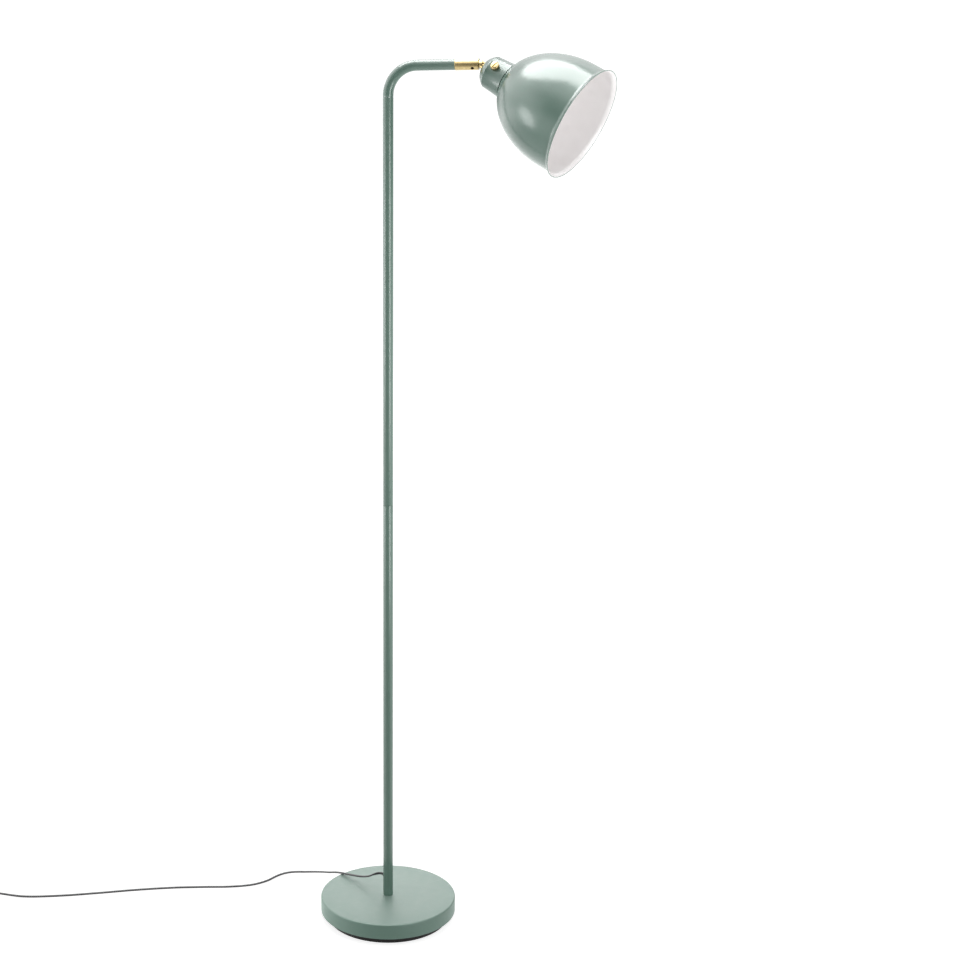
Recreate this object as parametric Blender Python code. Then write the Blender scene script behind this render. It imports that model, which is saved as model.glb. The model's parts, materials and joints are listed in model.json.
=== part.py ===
"""Adjustable arm floor lamp: a round weighted base, a slim pole with a bent arm, and a bell shade that
swivels round the arm and tilts.

Metres, +Z up. The origin is the centre of the base's underside, on the floor. The arm runs along +X.
"""

import math

import bpy
from mathutils import Matrix, Vector

MM = 0.001
GAP = 0.3  # between pieces that touch

FINE, PLAIN, SMALL, TINY = 40, 24, 16, 10  # sides of a turned piece

# ---- driving dimensions, in millimetres ----
BASE_R = 124.0
BASE_TOP = 41.0
BASE_WALL = 1.5
BASE_EDGE_R = 3.0
PAD_R = 111.0
PAD_THICK = 13.0
WEIGHT_R = 118.0
WEIGHT_THICK = 14.0
WEIGHT_BOSS_R = 30.0
NUT_WELL_R = 24.0
NUT_WELL_DEPTH = 11.7

TUBE_R = 9.0
TUBE_BORE_R = 7.8
ARM_Z = 1527.0
BEND_R = 49.0
ARM_JOINT_Z = 1475.5
MID_JOINT_Z = 777.0
ARM_TUBE_END_X = 114.7
PLUG_R = 7.5  # everything that sits in the tube's bore
THREAD_R = 4.9
THREAD_HOLE_R = 5.2
NIPPLE_BORE_R = 3.6

SLEEVE_R = 9.6
SLEEVE_X = (97.0, 115.0, 154.5)  # spigot start, body start, body end
STUD_R = 4.9
STUD_START_X = 124.0
STUD_FLANGE_R = 6.0
STUD_FLANGE_END_X = 161.0
GRUB_X = 144.5
GRUB_DOWN_DEG = 48.0

HEAD_SWIVEL_DEG = 25.0  # the head hangs this far round the arm, towards -Y
HEAD_TILT_DEG = 31.5  # and its axis points this far below the arm's
PIVOT_X = 188.2
PIVOT_DROP = 22.4
TONGUE_THICK = 4.4
TONGUE_HALF_WIDTH = 6.0
EYE_R = 8.0
PIN_R = 2.4
PIN_HOLE_R = 2.7

SHADE_DEPTH = 170.0  # from the tilt pivot to the rim
SHADE_RIM_R = 95.0
SHADE_R = 90.0
SHADE_WALL = 1.2
SHADE_ARC_START = 30.0  # from the rim to where the wall starts to curve in
SHADE_ARC_LENGTH = 125.5
SHADE_NECK = 150.0  # from the rim to the flat ring round the lampholder
SHADE_HOLE_R = 20.4

CAP_DOME_R = 30.5
CAP_REAR_R = 27.3
CAP_MOUTH_R = 29.9
CAP_MOUTH_Z = 20.5
CAP_WALL = 1.3
CAP_SLOT = 6.0
CAP_SLOT_END_Z = -17.8

HOLDER_R = 19.8
HOLDER_MOUTH_Z = 68.0
SOCKET_R = 13.6  # bore of the screw shell, for an E27 lamp

CORD_R = 1.5
CORD_EXIT_Z = 77.0
CORD_EXIT_DEG = 150.0
CABLE_R = 2.2

SWITCH_AT = (-800.0, -122.0)
SWITCH_HEADING_DEG = 191.0
SWITCH_LENGTH = 74.0
SWITCH_WIDTH = 32.0
SWITCH_SPLIT_Z = 9.0
SWITCH_TOP_Z = 19.0
BUTTON_R = 9.0
BUTTON_TOP_Z = 22.0
RELIEF_LENGTH = 20.0

COIL_AT = (-868.0, -88.0)
COIL_R = (22.0, 33.0)
COIL_Z = (1.2, 11.6)
PLUG_AT = (-881.0, -5.0)  # rear face of the plug's body
PLUG_LENGTH = 35.0
PLUG_HALF_WIDTH = 17.8
PLUG_THICK = 14.0
PLUG_RELIEF_LENGTH = 25.0

# Hand-chosen points of the free cord: from the pole to the foot switch, from the switch to the coil, and
# from the coil to the plug.
ROUTE_TO_SWITCH = [
    (-9.7, 5.6, 77.0), (-20.0, 11.6, 74.6), (-32.0, 18.6, 67.5), (-45.0, 26.0, 59.0), (-62.0, 35.5, 52.5),
    (-84.0, 46.5, 48.0), (-105.0, 59.5, 43.4), (-120.5, 70.5, 38.2), (-138.0, 82.0, 31.0),
    (-156.0, 98.0, 22.5), (-178.0, 112.0, 14.0), (-199.0, 118.5, 8.6), (-213.0, 119.5, 6.6),
    (-226.0, 118.0, 5.1), (-240.0, 110.5, 3.8), (-250.0, 98.0, 3.0), (-262.0, 76.0, 2.2),
    (-284.0, 54.0, 1.7), (-322.0, 36.0, 1.6), (-372.0, 22.0, 1.6), (-430.0, 4.0, 1.6),
    (-495.0, -22.0, 1.6), (-560.0, -52.0, 1.6), (-625.0, -80.0, 1.7), (-690.0, -101.0, 2.5),
    (-743.6, -111.1, 8.0),
]
ROUTE_TO_COIL = [
    (-856.4, -132.9, 8.0), (-868.0, -134.4, 5.5), (-881.0, -131.6, 3.4), (-892.0, -124.5, 2.6),
    (-899.5, -113.5, 2.45), (-902.8, -100.5, 2.45), (-902.9, -90.0, 2.45),
]
ROUTE_TO_PLUG = [
    (-894.7, -65.6, 2.45), (-889.0, -58.5, 2.6), (-884.2, -49.0, 3.6), (-881.5, -39.5, 5.8),
    (-881.0, -30.3, 7.0),
]


# ---- materials ----
def material(name, colour, roughness, metallic=0.0):
    made = bpy.data.materials.new(name)
    made.use_nodes = True
    shader = made.node_tree.nodes["Principled BSDF"]
    shader.inputs["Base Color"].default_value = (*colour, 1.0)
    shader.inputs["Roughness"].default_value = roughness
    shader.inputs["Metallic"].default_value = metallic
    made.diffuse_color = (*colour, 1.0)
    return made


def sage_enamel():
    return material("sage_enamel", (0.25, 0.34, 0.29), 0.3)


def brass():
    return material("brass", (0.72, 0.55, 0.25), 0.28, 1.0)


def cast_iron():
    return material("cast_iron", (0.12, 0.12, 0.12), 0.8, 0.6)


def zinc_steel():
    return material("zinc_steel", (0.55, 0.56, 0.57), 0.4, 1.0)


def nickel():
    return material("nickel", (0.66, 0.63, 0.58), 0.25, 1.0)


def white_plastic():
    return material("white_plastic", (0.8, 0.79, 0.76), 0.45)


def black_plastic():
    return material("black_plastic", (0.02, 0.02, 0.022), 0.45)


def black_rubber():
    return material("black_rubber", (0.025, 0.025, 0.025), 0.75)


def cord_jacket():
    return material("cord_jacket", (0.03, 0.03, 0.032), 0.5)


# ---- modelling helpers: all sizes in millimetres, all places in the parent's frame ----
def along_x(x=0.0, y=0.0, z=0.0):
    """Places a shape that was made along its own Z so that it runs along +X."""
    return Matrix.Translation(Vector((x, y, z))) @ Matrix.Rotation(math.radians(90), 4, "Y")


def at(x=0.0, y=0.0, z=0.0, turn=0.0, axis="Z"):
    return Matrix.Translation(Vector((x, y, z))) @ Matrix.Rotation(math.radians(turn), 4, axis)


def settle(obj, finish, parent, place):
    """Links a new object, gives it its material and puts it in its parent's frame."""
    bpy.context.scene.collection.objects.link(obj)
    if finish is not None:
        obj.data.materials.append(finish)
    obj.parent = parent
    scaled = place.copy()
    scaled.translation = place.translation * MM
    obj.matrix_local = scaled
    return obj


def lofted(name, loops, finish, parent=None, place=Matrix(), closed=False):
    """A skin over loops of equal length, capped at both ends, or closed into a ring."""
    count = len(loops[0])
    points = [Vector(p) * MM for loop in loops for p in loop]
    faces = []
    for k in range(len(loops) if closed else len(loops) - 1):
        low, high = k * count, (k + 1) % len(loops) * count
        for i in range(count):
            j = (i + 1) % count
            faces.append((low + i, low + j, high + j, high + i))
    if not closed:
        faces.append(tuple(range(count))[::-1])
        faces.append(tuple((len(loops) - 1) * count + i for i in range(count)))
    mesh = bpy.data.meshes.new(name)
    mesh.from_pydata(points, [], faces)
    if volume(points, faces) < 0:
        mesh.flip_normals()
    mesh.shade_smooth()
    mesh.set_sharp_from_angle(angle=math.radians(35))
    return settle(bpy.data.objects.new(name, mesh), finish, parent, place)


def volume(points, faces):
    """Six times the signed volume inside the faces, which is positive when they face out."""
    total = 0.0
    for face in faces:
        first = points[face[0]]
        for b, c in zip(face[1:], face[2:]):
            total += first.dot(points[b].cross(points[c]))
    return total


def circle(radius, z, sides):
    turns = [2 * math.pi * i / sides for i in range(sides)]
    return [(radius * math.cos(t), radius * math.sin(t), z) for t in turns]


def turned(name, profile, finish, parent=None, place=Matrix(), sides=PLAIN, hollow=True):
    """A lathe part about Z. A hollow profile goes all the way round; a plain one is capped at both ends."""
    loops = [circle(r, z, sides) for r, z in profile]
    return lofted(name, loops, finish, parent, place, closed=hollow)


def ring_profile(inner, outer, low, high, chamfer=0.0):
    """The section of a plain ring, its outer edges chamfered."""
    c = chamfer
    outside = [(outer, low), (outer, high)]
    if c:
        outside = [(outer - c, low), (outer, low + c), (outer, high - c), (outer - c, high)]
    return [(inner, low), *outside, (inner, high)]


def rod(name, radius, low, high, finish, parent=None, place=Matrix(), sides=SMALL, chamfer=0.0):
    profile = [(radius, low), (radius, high)]
    if chamfer:
        c = chamfer
        profile = [(radius - c, low), (radius, low + c), (radius, high - c), (radius - c, high)]
    return turned(name, profile, finish, parent, place, sides, hollow=False)


def plate(name, outline, low, high, finish, parent=None, place=Matrix()):
    """A flat outline in XY, extruded from z = low to high."""
    loops = [[(x, y, z) for x, y in outline] for z in (low, high)]
    return lofted(name, loops, finish, parent, place)


def hexagon(across_flats):
    return [(x, y) for x, y, _ in circle(across_flats / math.sqrt(3), 0, 6)]


def arc(centre, radius, start, end, steps):
    """Points along an arc, in degrees, both ends included."""
    turns = [math.radians(start + (end - start) * i / steps) for i in range(steps + 1)]
    return [(centre[0] + radius * math.cos(t), centre[1] + radius * math.sin(t)) for t in turns]


def stadium(length, width, corner, z, count=PLAIN):
    """A rounded rectangle at height z, with the same number of points whatever its size."""
    corners = ((1, 1, 0), (-1, 1, 90), (-1, -1, 180), (1, -1, 270))
    points = []
    for sx, sy, start in corners:
        centre = (sx * (length / 2 - corner), sy * (width / 2 - corner))
        points += [(x, y, z) for x, y in arc(centre, corner, start, start + 90, count // 4 - 1)]
    return points


def cutter(obj):
    obj.hide_render = True
    obj.display_type = "WIRE"
    return obj


def cut(target, tool, operation="DIFFERENCE"):
    step = target.modifiers.new(tool.name, "BOOLEAN")
    step.operation = operation
    step.solver = "EXACT"
    step.object = cutter(tool)


def hex_nut(name, across_flats, hole_r, low, high, finish, parent=None, place=Matrix()):
    nut = plate(name, hexagon(across_flats), low, high, finish, parent, place)
    cut(nut, rod(name + "_hole", hole_r, low - 1, high + 1, None, parent, place))
    return nut


def smooth_route(points, step):
    """Evenly spaced points on a smooth curve through the given ones."""
    known = [Vector(p) for p in points]
    ends = [known[0] * 2 - known[1], *known, known[-1] * 2 - known[-2]]
    fine = []
    for a, b, c, d in zip(ends, ends[1:], ends[2:], ends[3:]):
        times = [0.0]
        for p, q in ((a, b), (b, c), (c, d)):
            times.append(times[-1] + math.sqrt((q - p).length))
        for i in range(24):
            t = times[1] + (times[2] - times[1]) * i / 24
            fine.append(spline_point((a, b, c, d), times, t))
    fine.append(known[-1])
    spans = [(q - p).length for p, q in zip(fine, fine[1:])]
    total = sum(spans)
    pieces = max(2, round(total / step))
    even, walked, k = [fine[0]], 0.0, 0
    for i in range(1, pieces):
        want = total * i / pieces
        while walked + spans[k] < want:
            walked += spans[k]
            k += 1
        even.append(fine[k].lerp(fine[k + 1], (want - walked) / spans[k]))
    return [*even, fine[-1]]


def spline_point(points, times, t):
    """A centripetal Catmull-Rom curve's point at t, between the second and the third point."""
    level = points
    for spans in (((0, 1), (1, 2), (2, 3)), ((0, 2), (1, 3)), ((1, 2),)):
        shares = [(t - times[low]) / (times[high] - times[low]) for low, high in spans]
        level = [p.lerp(q, share) for p, q, share in zip(level, level[1:], shares)]
    return level[0]


def cable(name, points, radius, finish):
    """A round cable as a bevelled poly curve with filled ends."""
    data = bpy.data.curves.new(name, "CURVE")
    data.dimensions = "3D"
    data.bevel_depth = radius * MM
    data.bevel_resolution = 2
    data.use_fill_caps = True
    spline = data.splines.new("POLY")
    spline.points.add(len(points) - 1)
    for knot, p in zip(spline.points, points):
        knot.co = (*(Vector(p) * MM), 1.0)
    return settle(bpy.data.objects.new(name, data), finish, None, Matrix())


def empty(name, parent, place):
    return settle(bpy.data.objects.new(name, None), None, parent, place)


# ---- base ----
def make_base(looks):
    low, inner_r = PAD_THICK + GAP, BASE_R - BASE_WALL
    rod("base_pad", PAD_R, 0, PAD_THICK, looks["rubber"], sides=FINE)
    edge = arc((BASE_R - BASE_EDGE_R, BASE_TOP - BASE_EDGE_R), BASE_EDGE_R, 0, 90, 3)
    hole, roof = THREAD_HOLE_R, BASE_TOP - BASE_WALL
    shell = [(hole, roof), (inner_r - 1.5, roof), (inner_r, roof - 1.5), (inner_r, low)]
    shell += [(BASE_R, low), *edge, (hole, BASE_TOP)]
    turned("base_cover", shell, looks["enamel"], sides=FINE)
    seat, boss_top, disc_top = low + NUT_WELL_DEPTH, roof - GAP, low + WEIGHT_THICK
    weight = [(hole, seat), (NUT_WELL_R, seat), (NUT_WELL_R, low), (WEIGHT_R, low), (WEIGHT_R, disc_top)]
    weight += [(WEIGHT_BOSS_R + 4, disc_top), (WEIGHT_BOSS_R, boss_top), (hole, boss_top)]
    turned("base_weight", weight, looks["iron"], sides=FINE)
    washer_top = seat - GAP
    turned("base_washer", ring_profile(hole, 12, washer_top - 1.6, washer_top), looks["zinc"])
    nut_top = washer_top - 1.6 - GAP
    hex_nut("base_nut", 17, hole, nut_top - 7, nut_top, looks["zinc"])
    turned("base_nipple", ring_profile(NIPPLE_BORE_R, THREAD_R, 15, 59, 0.5), looks["zinc"], sides=SMALL)


# ---- pole and arm ----
def straight_tube(name, low, high, finish):
    return turned(name, ring_profile(TUBE_BORE_R, TUBE_R, low, high), finish)


def make_pole(looks):
    lower = straight_tube("pole_lower", BASE_TOP + GAP, MID_JOINT_Z - GAP / 2, looks["enamel"])
    hole_place = at(0, 0, CORD_EXIT_Z, CORD_EXIT_DEG) @ Matrix.Rotation(math.radians(90), 4, "Y")
    cut(lower, rod("cord_hole", 3.2, 4, 12, None, None, hole_place))
    straight_tube("pole_upper", MID_JOINT_Z + GAP / 2, ARM_JOINT_Z - GAP / 2, looks["enamel"])
    inserts = ((BASE_TOP + 2, 1), (MID_JOINT_Z - 13, 2), (MID_JOINT_Z + 1, 3))
    for low, number in inserts:
        section = ring_profile(THREAD_HOLE_R, PLUG_R, low, low + 12, 0.5)
        turned(f"thread_insert_{number}", section, looks["zinc"], sides=SMALL)
    middle = ring_profile(NIPPLE_BORE_R, THREAD_R, MID_JOINT_Z - 11, MID_JOINT_Z + 11, 0.5)
    turned("pole_nipple", middle, looks["zinc"], sides=SMALL)
    plug = ring_profile(NIPPLE_BORE_R, PLUG_R, ARM_JOINT_Z - 28, ARM_JOINT_Z + 2.2, 0.6)
    turned("arm_connector", plug, looks["zinc"], sides=SMALL)
    make_grommet(looks)


def make_grommet(looks):
    place = at(0, 0, CORD_EXIT_Z, CORD_EXIT_DEG) @ Matrix.Rotation(math.radians(90), 4, "Y")
    section = [(1.9, 7.2), (2.8, 7.2), (2.8, 9.6), (4.2, 9.6), (3.9, 10.8), (1.9, 10.8)]
    turned("cord_grommet", section, looks["rubber"], None, place, SMALL)


def arm_centreline():
    """The arm's axis as (x, z): up from the joint, round the bend, and along to the brass sleeve."""
    bend = arc((BEND_R, ARM_Z - BEND_R), BEND_R, 180, 90, 8)
    return [(0.0, ARM_JOINT_Z + GAP / 2), *bend, (ARM_TUBE_END_X, ARM_Z)]


def swept_loop(line, index, radius, sides):
    """A circle square to a line that lies in the XZ plane."""
    x, z = line[index]
    before, after = line[max(index - 1, 0)], line[min(index + 1, len(line) - 1)]
    angle = math.atan2(after[1] - before[1], after[0] - before[0])
    if index in (1, len(line) - 2):
        angle = math.pi / 2 if index == 1 else 0.0
    loop = []
    for i in range(sides):
        turn = 2 * math.pi * i / sides
        side, up = radius * math.cos(turn), radius * math.sin(turn)
        loop.append((x - up * math.sin(angle), side, z + up * math.cos(angle)))
    return loop


def make_arm(looks):
    line = arm_centreline()
    order = range(len(line))
    outside = [swept_loop(line, i, TUBE_R, PLAIN) for i in order]
    inside = [swept_loop(line, i, TUBE_BORE_R, PLAIN) for i in reversed(order)]
    lofted("arm_tube", outside + inside, looks["enamel"], closed=True)


def make_sleeve(looks):
    start, body, end = SLEEVE_X
    bore = STUD_R + 0.2
    section = [(bore, start), (PLUG_R - 0.5, start), (PLUG_R, start + 0.5), (PLUG_R, body)]
    section += [(SLEEVE_R - 0.5, body), (SLEEVE_R, body + 0.5), (SLEEVE_R, end - 0.6)]
    section += [(SLEEVE_R - 0.6, end), (bore, end)]
    sleeve = turned("arm_sleeve", section, looks["brass"], None, along_x(z=ARM_Z))
    grub_place = at(GRUB_X, 0, ARM_Z) @ Matrix.Rotation(math.radians(90 + GRUB_DOWN_DEG), 4, "X")
    cut(sleeve, rod("grub_hole", 2.8, 3, 12, None, None, grub_place))
    grub = rod("sleeve_grub_screw", 2.5, 4.6, 8.2, looks["zinc"], None, grub_place, SMALL, 0.3)
    cut(grub, plate("grub_key", hexagon(2.5), 6.4, 9, None, None, grub_place))


def make_cables(looks):
    """The cable inside the pole and the arm, and the free cord in its three stretches."""
    turn = math.radians(CORD_EXIT_DEG)
    start = (6.2 * math.cos(turn), 6.2 * math.sin(turn), CORD_EXIT_Z)
    inside = (1.2 * math.cos(turn), 1.2 * math.sin(turn), CORD_EXIT_Z + 3.5)
    bend = [(x, 0, z) for x, z in arc((BEND_R, ARM_Z - BEND_R), BEND_R, 180, 90, 8)]
    inner = [start, inside, (0, 0, CORD_EXIT_Z + 12), (0, 0, 700), *bend, (STUD_START_X - 2, 0, ARM_Z)]
    cable("inner_cable", inner, CABLE_R, looks["cord"])
    cable("cord_run_1", smooth_route(ROUTE_TO_SWITCH, 12.5), CORD_R, looks["cord"])
    cable("cord_run_2", smooth_route(ROUTE_TO_COIL, 8), CORD_R, looks["cord"])
    cable("cord_run_3", smooth_route(ROUTE_TO_PLUG, 8), CORD_R, looks["cord"])


# ---- swivel ----
def make_swivel(looks):
    """The brass stud that turns in the sleeve, with the tongue that the head tilts on.

    Its frame's X is the arm's axis."""
    frame = empty("swivel_axis", None, at(0, 0, ARM_Z, -HEAD_SWIVEL_DEG, "X"))
    bore, groove = 2.6, 4.0
    start, flange = STUD_START_X, SLEEVE_X[2] + GAP
    groove_low, groove_high = GRUB_X - 3.2, GRUB_X + 3.2
    section = [(bore, start), (STUD_R - 0.5, start), (STUD_R, start + 0.5), (STUD_R, groove_low)]
    section += [(groove, groove_low + 0.4), (groove, groove_high - 0.4), (STUD_R, groove_high)]
    end = STUD_FLANGE_END_X
    section += [(STUD_R, flange), (STUD_FLANGE_R, flange), (STUD_FLANGE_R, end - 1)]
    section += [(STUD_FLANGE_R - 1, end), (bore, end)]
    stud = turned("swivel_stud", section, looks["brass"], frame, along_x())
    tongue = tongue_blank(frame)
    cut(tongue, rod("tongue_eye_hole", PIN_HOLE_R, -6, 6, None, frame, at(PIVOT_X, 0, -PIVOT_DROP, 90, "X")))
    cut(tongue, rod("tongue_wire_way", bore, end - 6, end + 3, None, frame, along_x()))
    cut(stud, tongue, "UNION")
    return frame


def tongue_blank(frame):
    """A flat bar from inside the flange down to the tilt pivot, in the swivel's XZ plane."""
    root_x = STUD_FLANGE_END_X - 3
    run, drop = PIVOT_X - root_x, -PIVOT_DROP
    lean = math.degrees(math.atan2(drop, run))
    length = math.hypot(run, drop)
    side = math.degrees(math.asin(TONGUE_HALF_WIDTH / EYE_R))
    outline = [(0, -TONGUE_HALF_WIDTH + 1.5), (2.5, -TONGUE_HALF_WIDTH)]
    outline += arc((length, 0), EYE_R, side - 180, 180 - side, 10)
    outline += [(2.5, TONGUE_HALF_WIDTH), (0, TONGUE_HALF_WIDTH - 1.5)]
    upright = Matrix.Rotation(math.radians(90), 4, "X")
    place = at(root_x, 0, 0) @ Matrix.Rotation(math.radians(-lean), 4, "Y") @ upright
    half = TONGUE_THICK / 2
    return plate("tongue_blank", outline, -half, half, None, frame, place)


# ---- head: its frame's X is the shade's axis, with the origin on the tilt pivot ----
def shade_radius(from_rim):
    share = (from_rim - SHADE_ARC_START) / SHADE_ARC_LENGTH
    return SHADE_R * math.sqrt(1 - max(share, 0) ** 2)


def shade_profile():
    """The bell's outside from the rim back to the neck, then its inside forward again, as (r, z)."""
    rim = [(SHADE_RIM_R - 0.4, 0.0), (SHADE_RIM_R, 0.8), (SHADE_RIM_R - 0.8, 3.6), (SHADE_R + 0.6, 9.0)]
    stations = [20, 34, 62, 84, 102, 117, 129, 139]
    wall = [(shade_radius(s), s) for s in stations]
    top = [(27.6, SHADE_NECK), (SHADE_HOLE_R, SHADE_NECK)]
    outside = rim + wall + top
    inside = [(SHADE_HOLE_R, SHADE_NECK - SHADE_WALL), (27.0, SHADE_NECK - SHADE_WALL)]
    inside += [(r - SHADE_WALL, s - 0.5) for r, s in reversed(wall)]
    inside += [(SHADE_R - 0.7, 8.4), (SHADE_RIM_R - 2.2, 3.4), (SHADE_RIM_R - 1.4, 0.4)]
    return [(r, SHADE_DEPTH - s) for r, s in outside + inside]


def make_neck_cap(looks, frame):
    lean = math.degrees(math.asin(CAP_REAR_R / CAP_DOME_R))
    dome = [(r, -z) for z, r in arc((0, 0), CAP_DOME_R, 3, lean, 5)]
    inner_r = CAP_DOME_R - CAP_WALL
    inner_lean = math.degrees(math.asin((CAP_REAR_R - CAP_WALL) / inner_r))
    inner_dome = [(r, -z) for z, r in arc((0, 0), inner_r, inner_lean, 3, 4)]
    profile = [*dome, (CAP_MOUTH_R, CAP_MOUTH_Z), (CAP_MOUTH_R - CAP_WALL, CAP_MOUTH_Z), *inner_dome]
    cap = turned("neck_cap", profile, looks["enamel"], frame, along_x(), FINE)
    half = CAP_SLOT / 2
    slot = [(-40, -half), (CAP_SLOT_END_Z, -half), (CAP_SLOT_END_Z, half), (-40, half)]
    cut(cap, plate("cap_slot", slot, -40, 40, None, frame))
    cut(cap, rod("cap_pin_hole", 3.0, 0, 40, None, frame, at(turn=90, axis="X")))


def make_hinge(looks, frame):
    """The steel bracket inside the cap, its friction washers and nut, and the spacer to the cap's wall."""
    inner, thick, reach = 3.6, 1.5, 12.5
    arm = [(reach, -EYE_R), *arc((0, 0), EYE_R, -90, -270, 8), (reach, EYE_R)]
    upright = Matrix.Rotation(math.radians(90), 4, "X")
    bracket = plate("hinge_bracket", arm, inner, inner + thick, looks["zinc"], frame, upright)
    other = plate("bracket_far_arm", arm, -inner - thick, -inner, None, frame, upright)
    wide = inner + thick
    web = [(reach - thick, -wide), (reach, -wide), (reach, wide), (reach - thick, wide)]
    cut(bracket, plate("bracket_web", web, -EYE_R, EYE_R, None, frame), "UNION")
    cut(bracket, other, "UNION")
    cut(bracket, rod("bracket_pin_hole", PIN_HOLE_R, -9, 9, None, frame, upright))
    cut(bracket, rod("bracket_nipple_hole", THREAD_HOLE_R, 8, 15, None, frame, along_x()))
    half = TONGUE_THICK / 2 + GAP
    for number, low in ((1, half), (2, -inner + GAP)):
        washer = ring_profile(PIN_HOLE_R, 7.0, low, low + inner - GAP - half)
        turned(f"friction_washer_{number}", washer, looks["rubber"], frame, upright, SMALL)
    nut_place = at(0, wide + GAP, 0, -90, "X")
    hex_nut("hinge_nut", 8, PIN_HOLE_R, 0, 4, looks["zinc"], frame, nut_place)
    section = ring_profile(PIN_HOLE_R, 4.0, wide + GAP, 26.2)
    turned("screw_spacer", section, looks["zinc"], frame, upright, SMALL)


def make_thumb_screw(looks, frame):
    """The brass screw through the cap's side: a knurled, slotted head outside and a plain shank."""
    screw = empty("thumb_screw_axis", frame, at(turn=90, axis="X"))
    head_low, head_high, head_r = 29.4, 37.4, 7.0
    lobes = 14
    loops = []
    shank = [circle(PIN_R, z, lobes * 2) for z in (-10.5, head_low)]
    for z, r in ((head_low, head_r - 0.7), (head_low + 0.7, head_r), (head_high - 2.4, head_r)):
        loops.append(knurled_loop(r, z, lobes))
    for z, r in ((head_high - 0.8, head_r - 1.4), (head_high, head_r - 3.2)):
        loops.append(circle(r, z, lobes * 2))
    head = lofted("thumb_screw", shank + loops, looks["brass"], screw)
    slot = [(-9, -0.7), (9, -0.7), (9, 0.7), (-9, 0.7)]
    cut(head, plate("thumb_screw_slot", slot, head_high - 1.4, head_high + 1, None, screw))


def knurled_loop(radius, z, lobes):
    loop = []
    for i in range(lobes * 2):
        turn = math.pi * i / lobes
        r = radius if i % 2 else radius - 0.35
        loop.append((r * math.cos(turn), r * math.sin(turn), z))
    return loop


def make_lampholder(looks, frame):
    place = along_x()
    shoulder = SHADE_DEPTH - SHADE_NECK + GAP  # how far the shade's neck is from the pivot, turned round
    rear = 15.0
    skirt_in, floor = 15.2, shoulder - 0.9
    section = [(THREAD_HOLE_R, rear), (22.5, rear), (23.5, rear + 1), (23.5, shoulder - 2 * GAP)]
    mouth = HOLDER_MOUTH_Z
    section += [(HOLDER_R, shoulder - 2 * GAP), (HOLDER_R, mouth - 1), (HOLDER_R - 1, mouth)]
    section += [(skirt_in, mouth), (skirt_in, floor), (THREAD_HOLE_R, floor)]
    skirt = turned("holder_skirt", section, looks["white"], frame, place)
    for number, side in enumerate((-11, 11), 1):
        way = along_x(0, side, 10)
        cut(skirt, rod(f"wire_hole_{number}", 1.5, rear - 2, floor + 2, None, frame, way, TINY))
        rod(f"lead_wire_{number}", 1.1, -6, floor + 0.2, looks[f"wire_{number}"], frame, way, TINY)
    nipple = ring_profile(NIPPLE_BORE_R, THREAD_R, 9.2, floor + 1.2, 0.4)
    turned("holder_nipple", nipple, looks["zinc"], frame, place, SMALL)
    hex_nut("holder_nut", 13, THREAD_HOLE_R, 12.8, 14.7, looks["zinc"], frame, place)
    block = [(4.6, 21.5), (14.8, 21.5), (14.8, 34.0), (4.6, 34.0)]
    turned("contact_block", block, looks["white"], frame, place)
    contact = [(4.2, 30.0), (4.2, 35.4), (3.2, 36.2)]
    turned("centre_contact", contact, looks["nickel"], frame, place, SMALL, hollow=False)
    shell = ring_profile(SOCKET_R, 14.8, 34.4, mouth - 5)
    turned("screw_shell", shell, looks["nickel"], frame, place)
    ring_high = SHADE_DEPTH - SHADE_NECK + SHADE_WALL + GAP
    ring = ring_profile(HOLDER_R + 0.4, 26.5, ring_high, ring_high + 8, 0.8)
    turned("shade_ring", ring, looks["white"], frame, place)


def make_head(looks, swivel):
    frame = empty("tilt_axis", swivel, at(PIVOT_X, 0, -PIVOT_DROP, HEAD_TILT_DEG, "Y"))
    turned("shade", shade_profile(), looks["enamel"], frame, along_x(), FINE)
    make_neck_cap(looks, frame)
    make_hinge(looks, frame)
    make_thumb_screw(looks, frame)
    make_lampholder(looks, frame)


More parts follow.
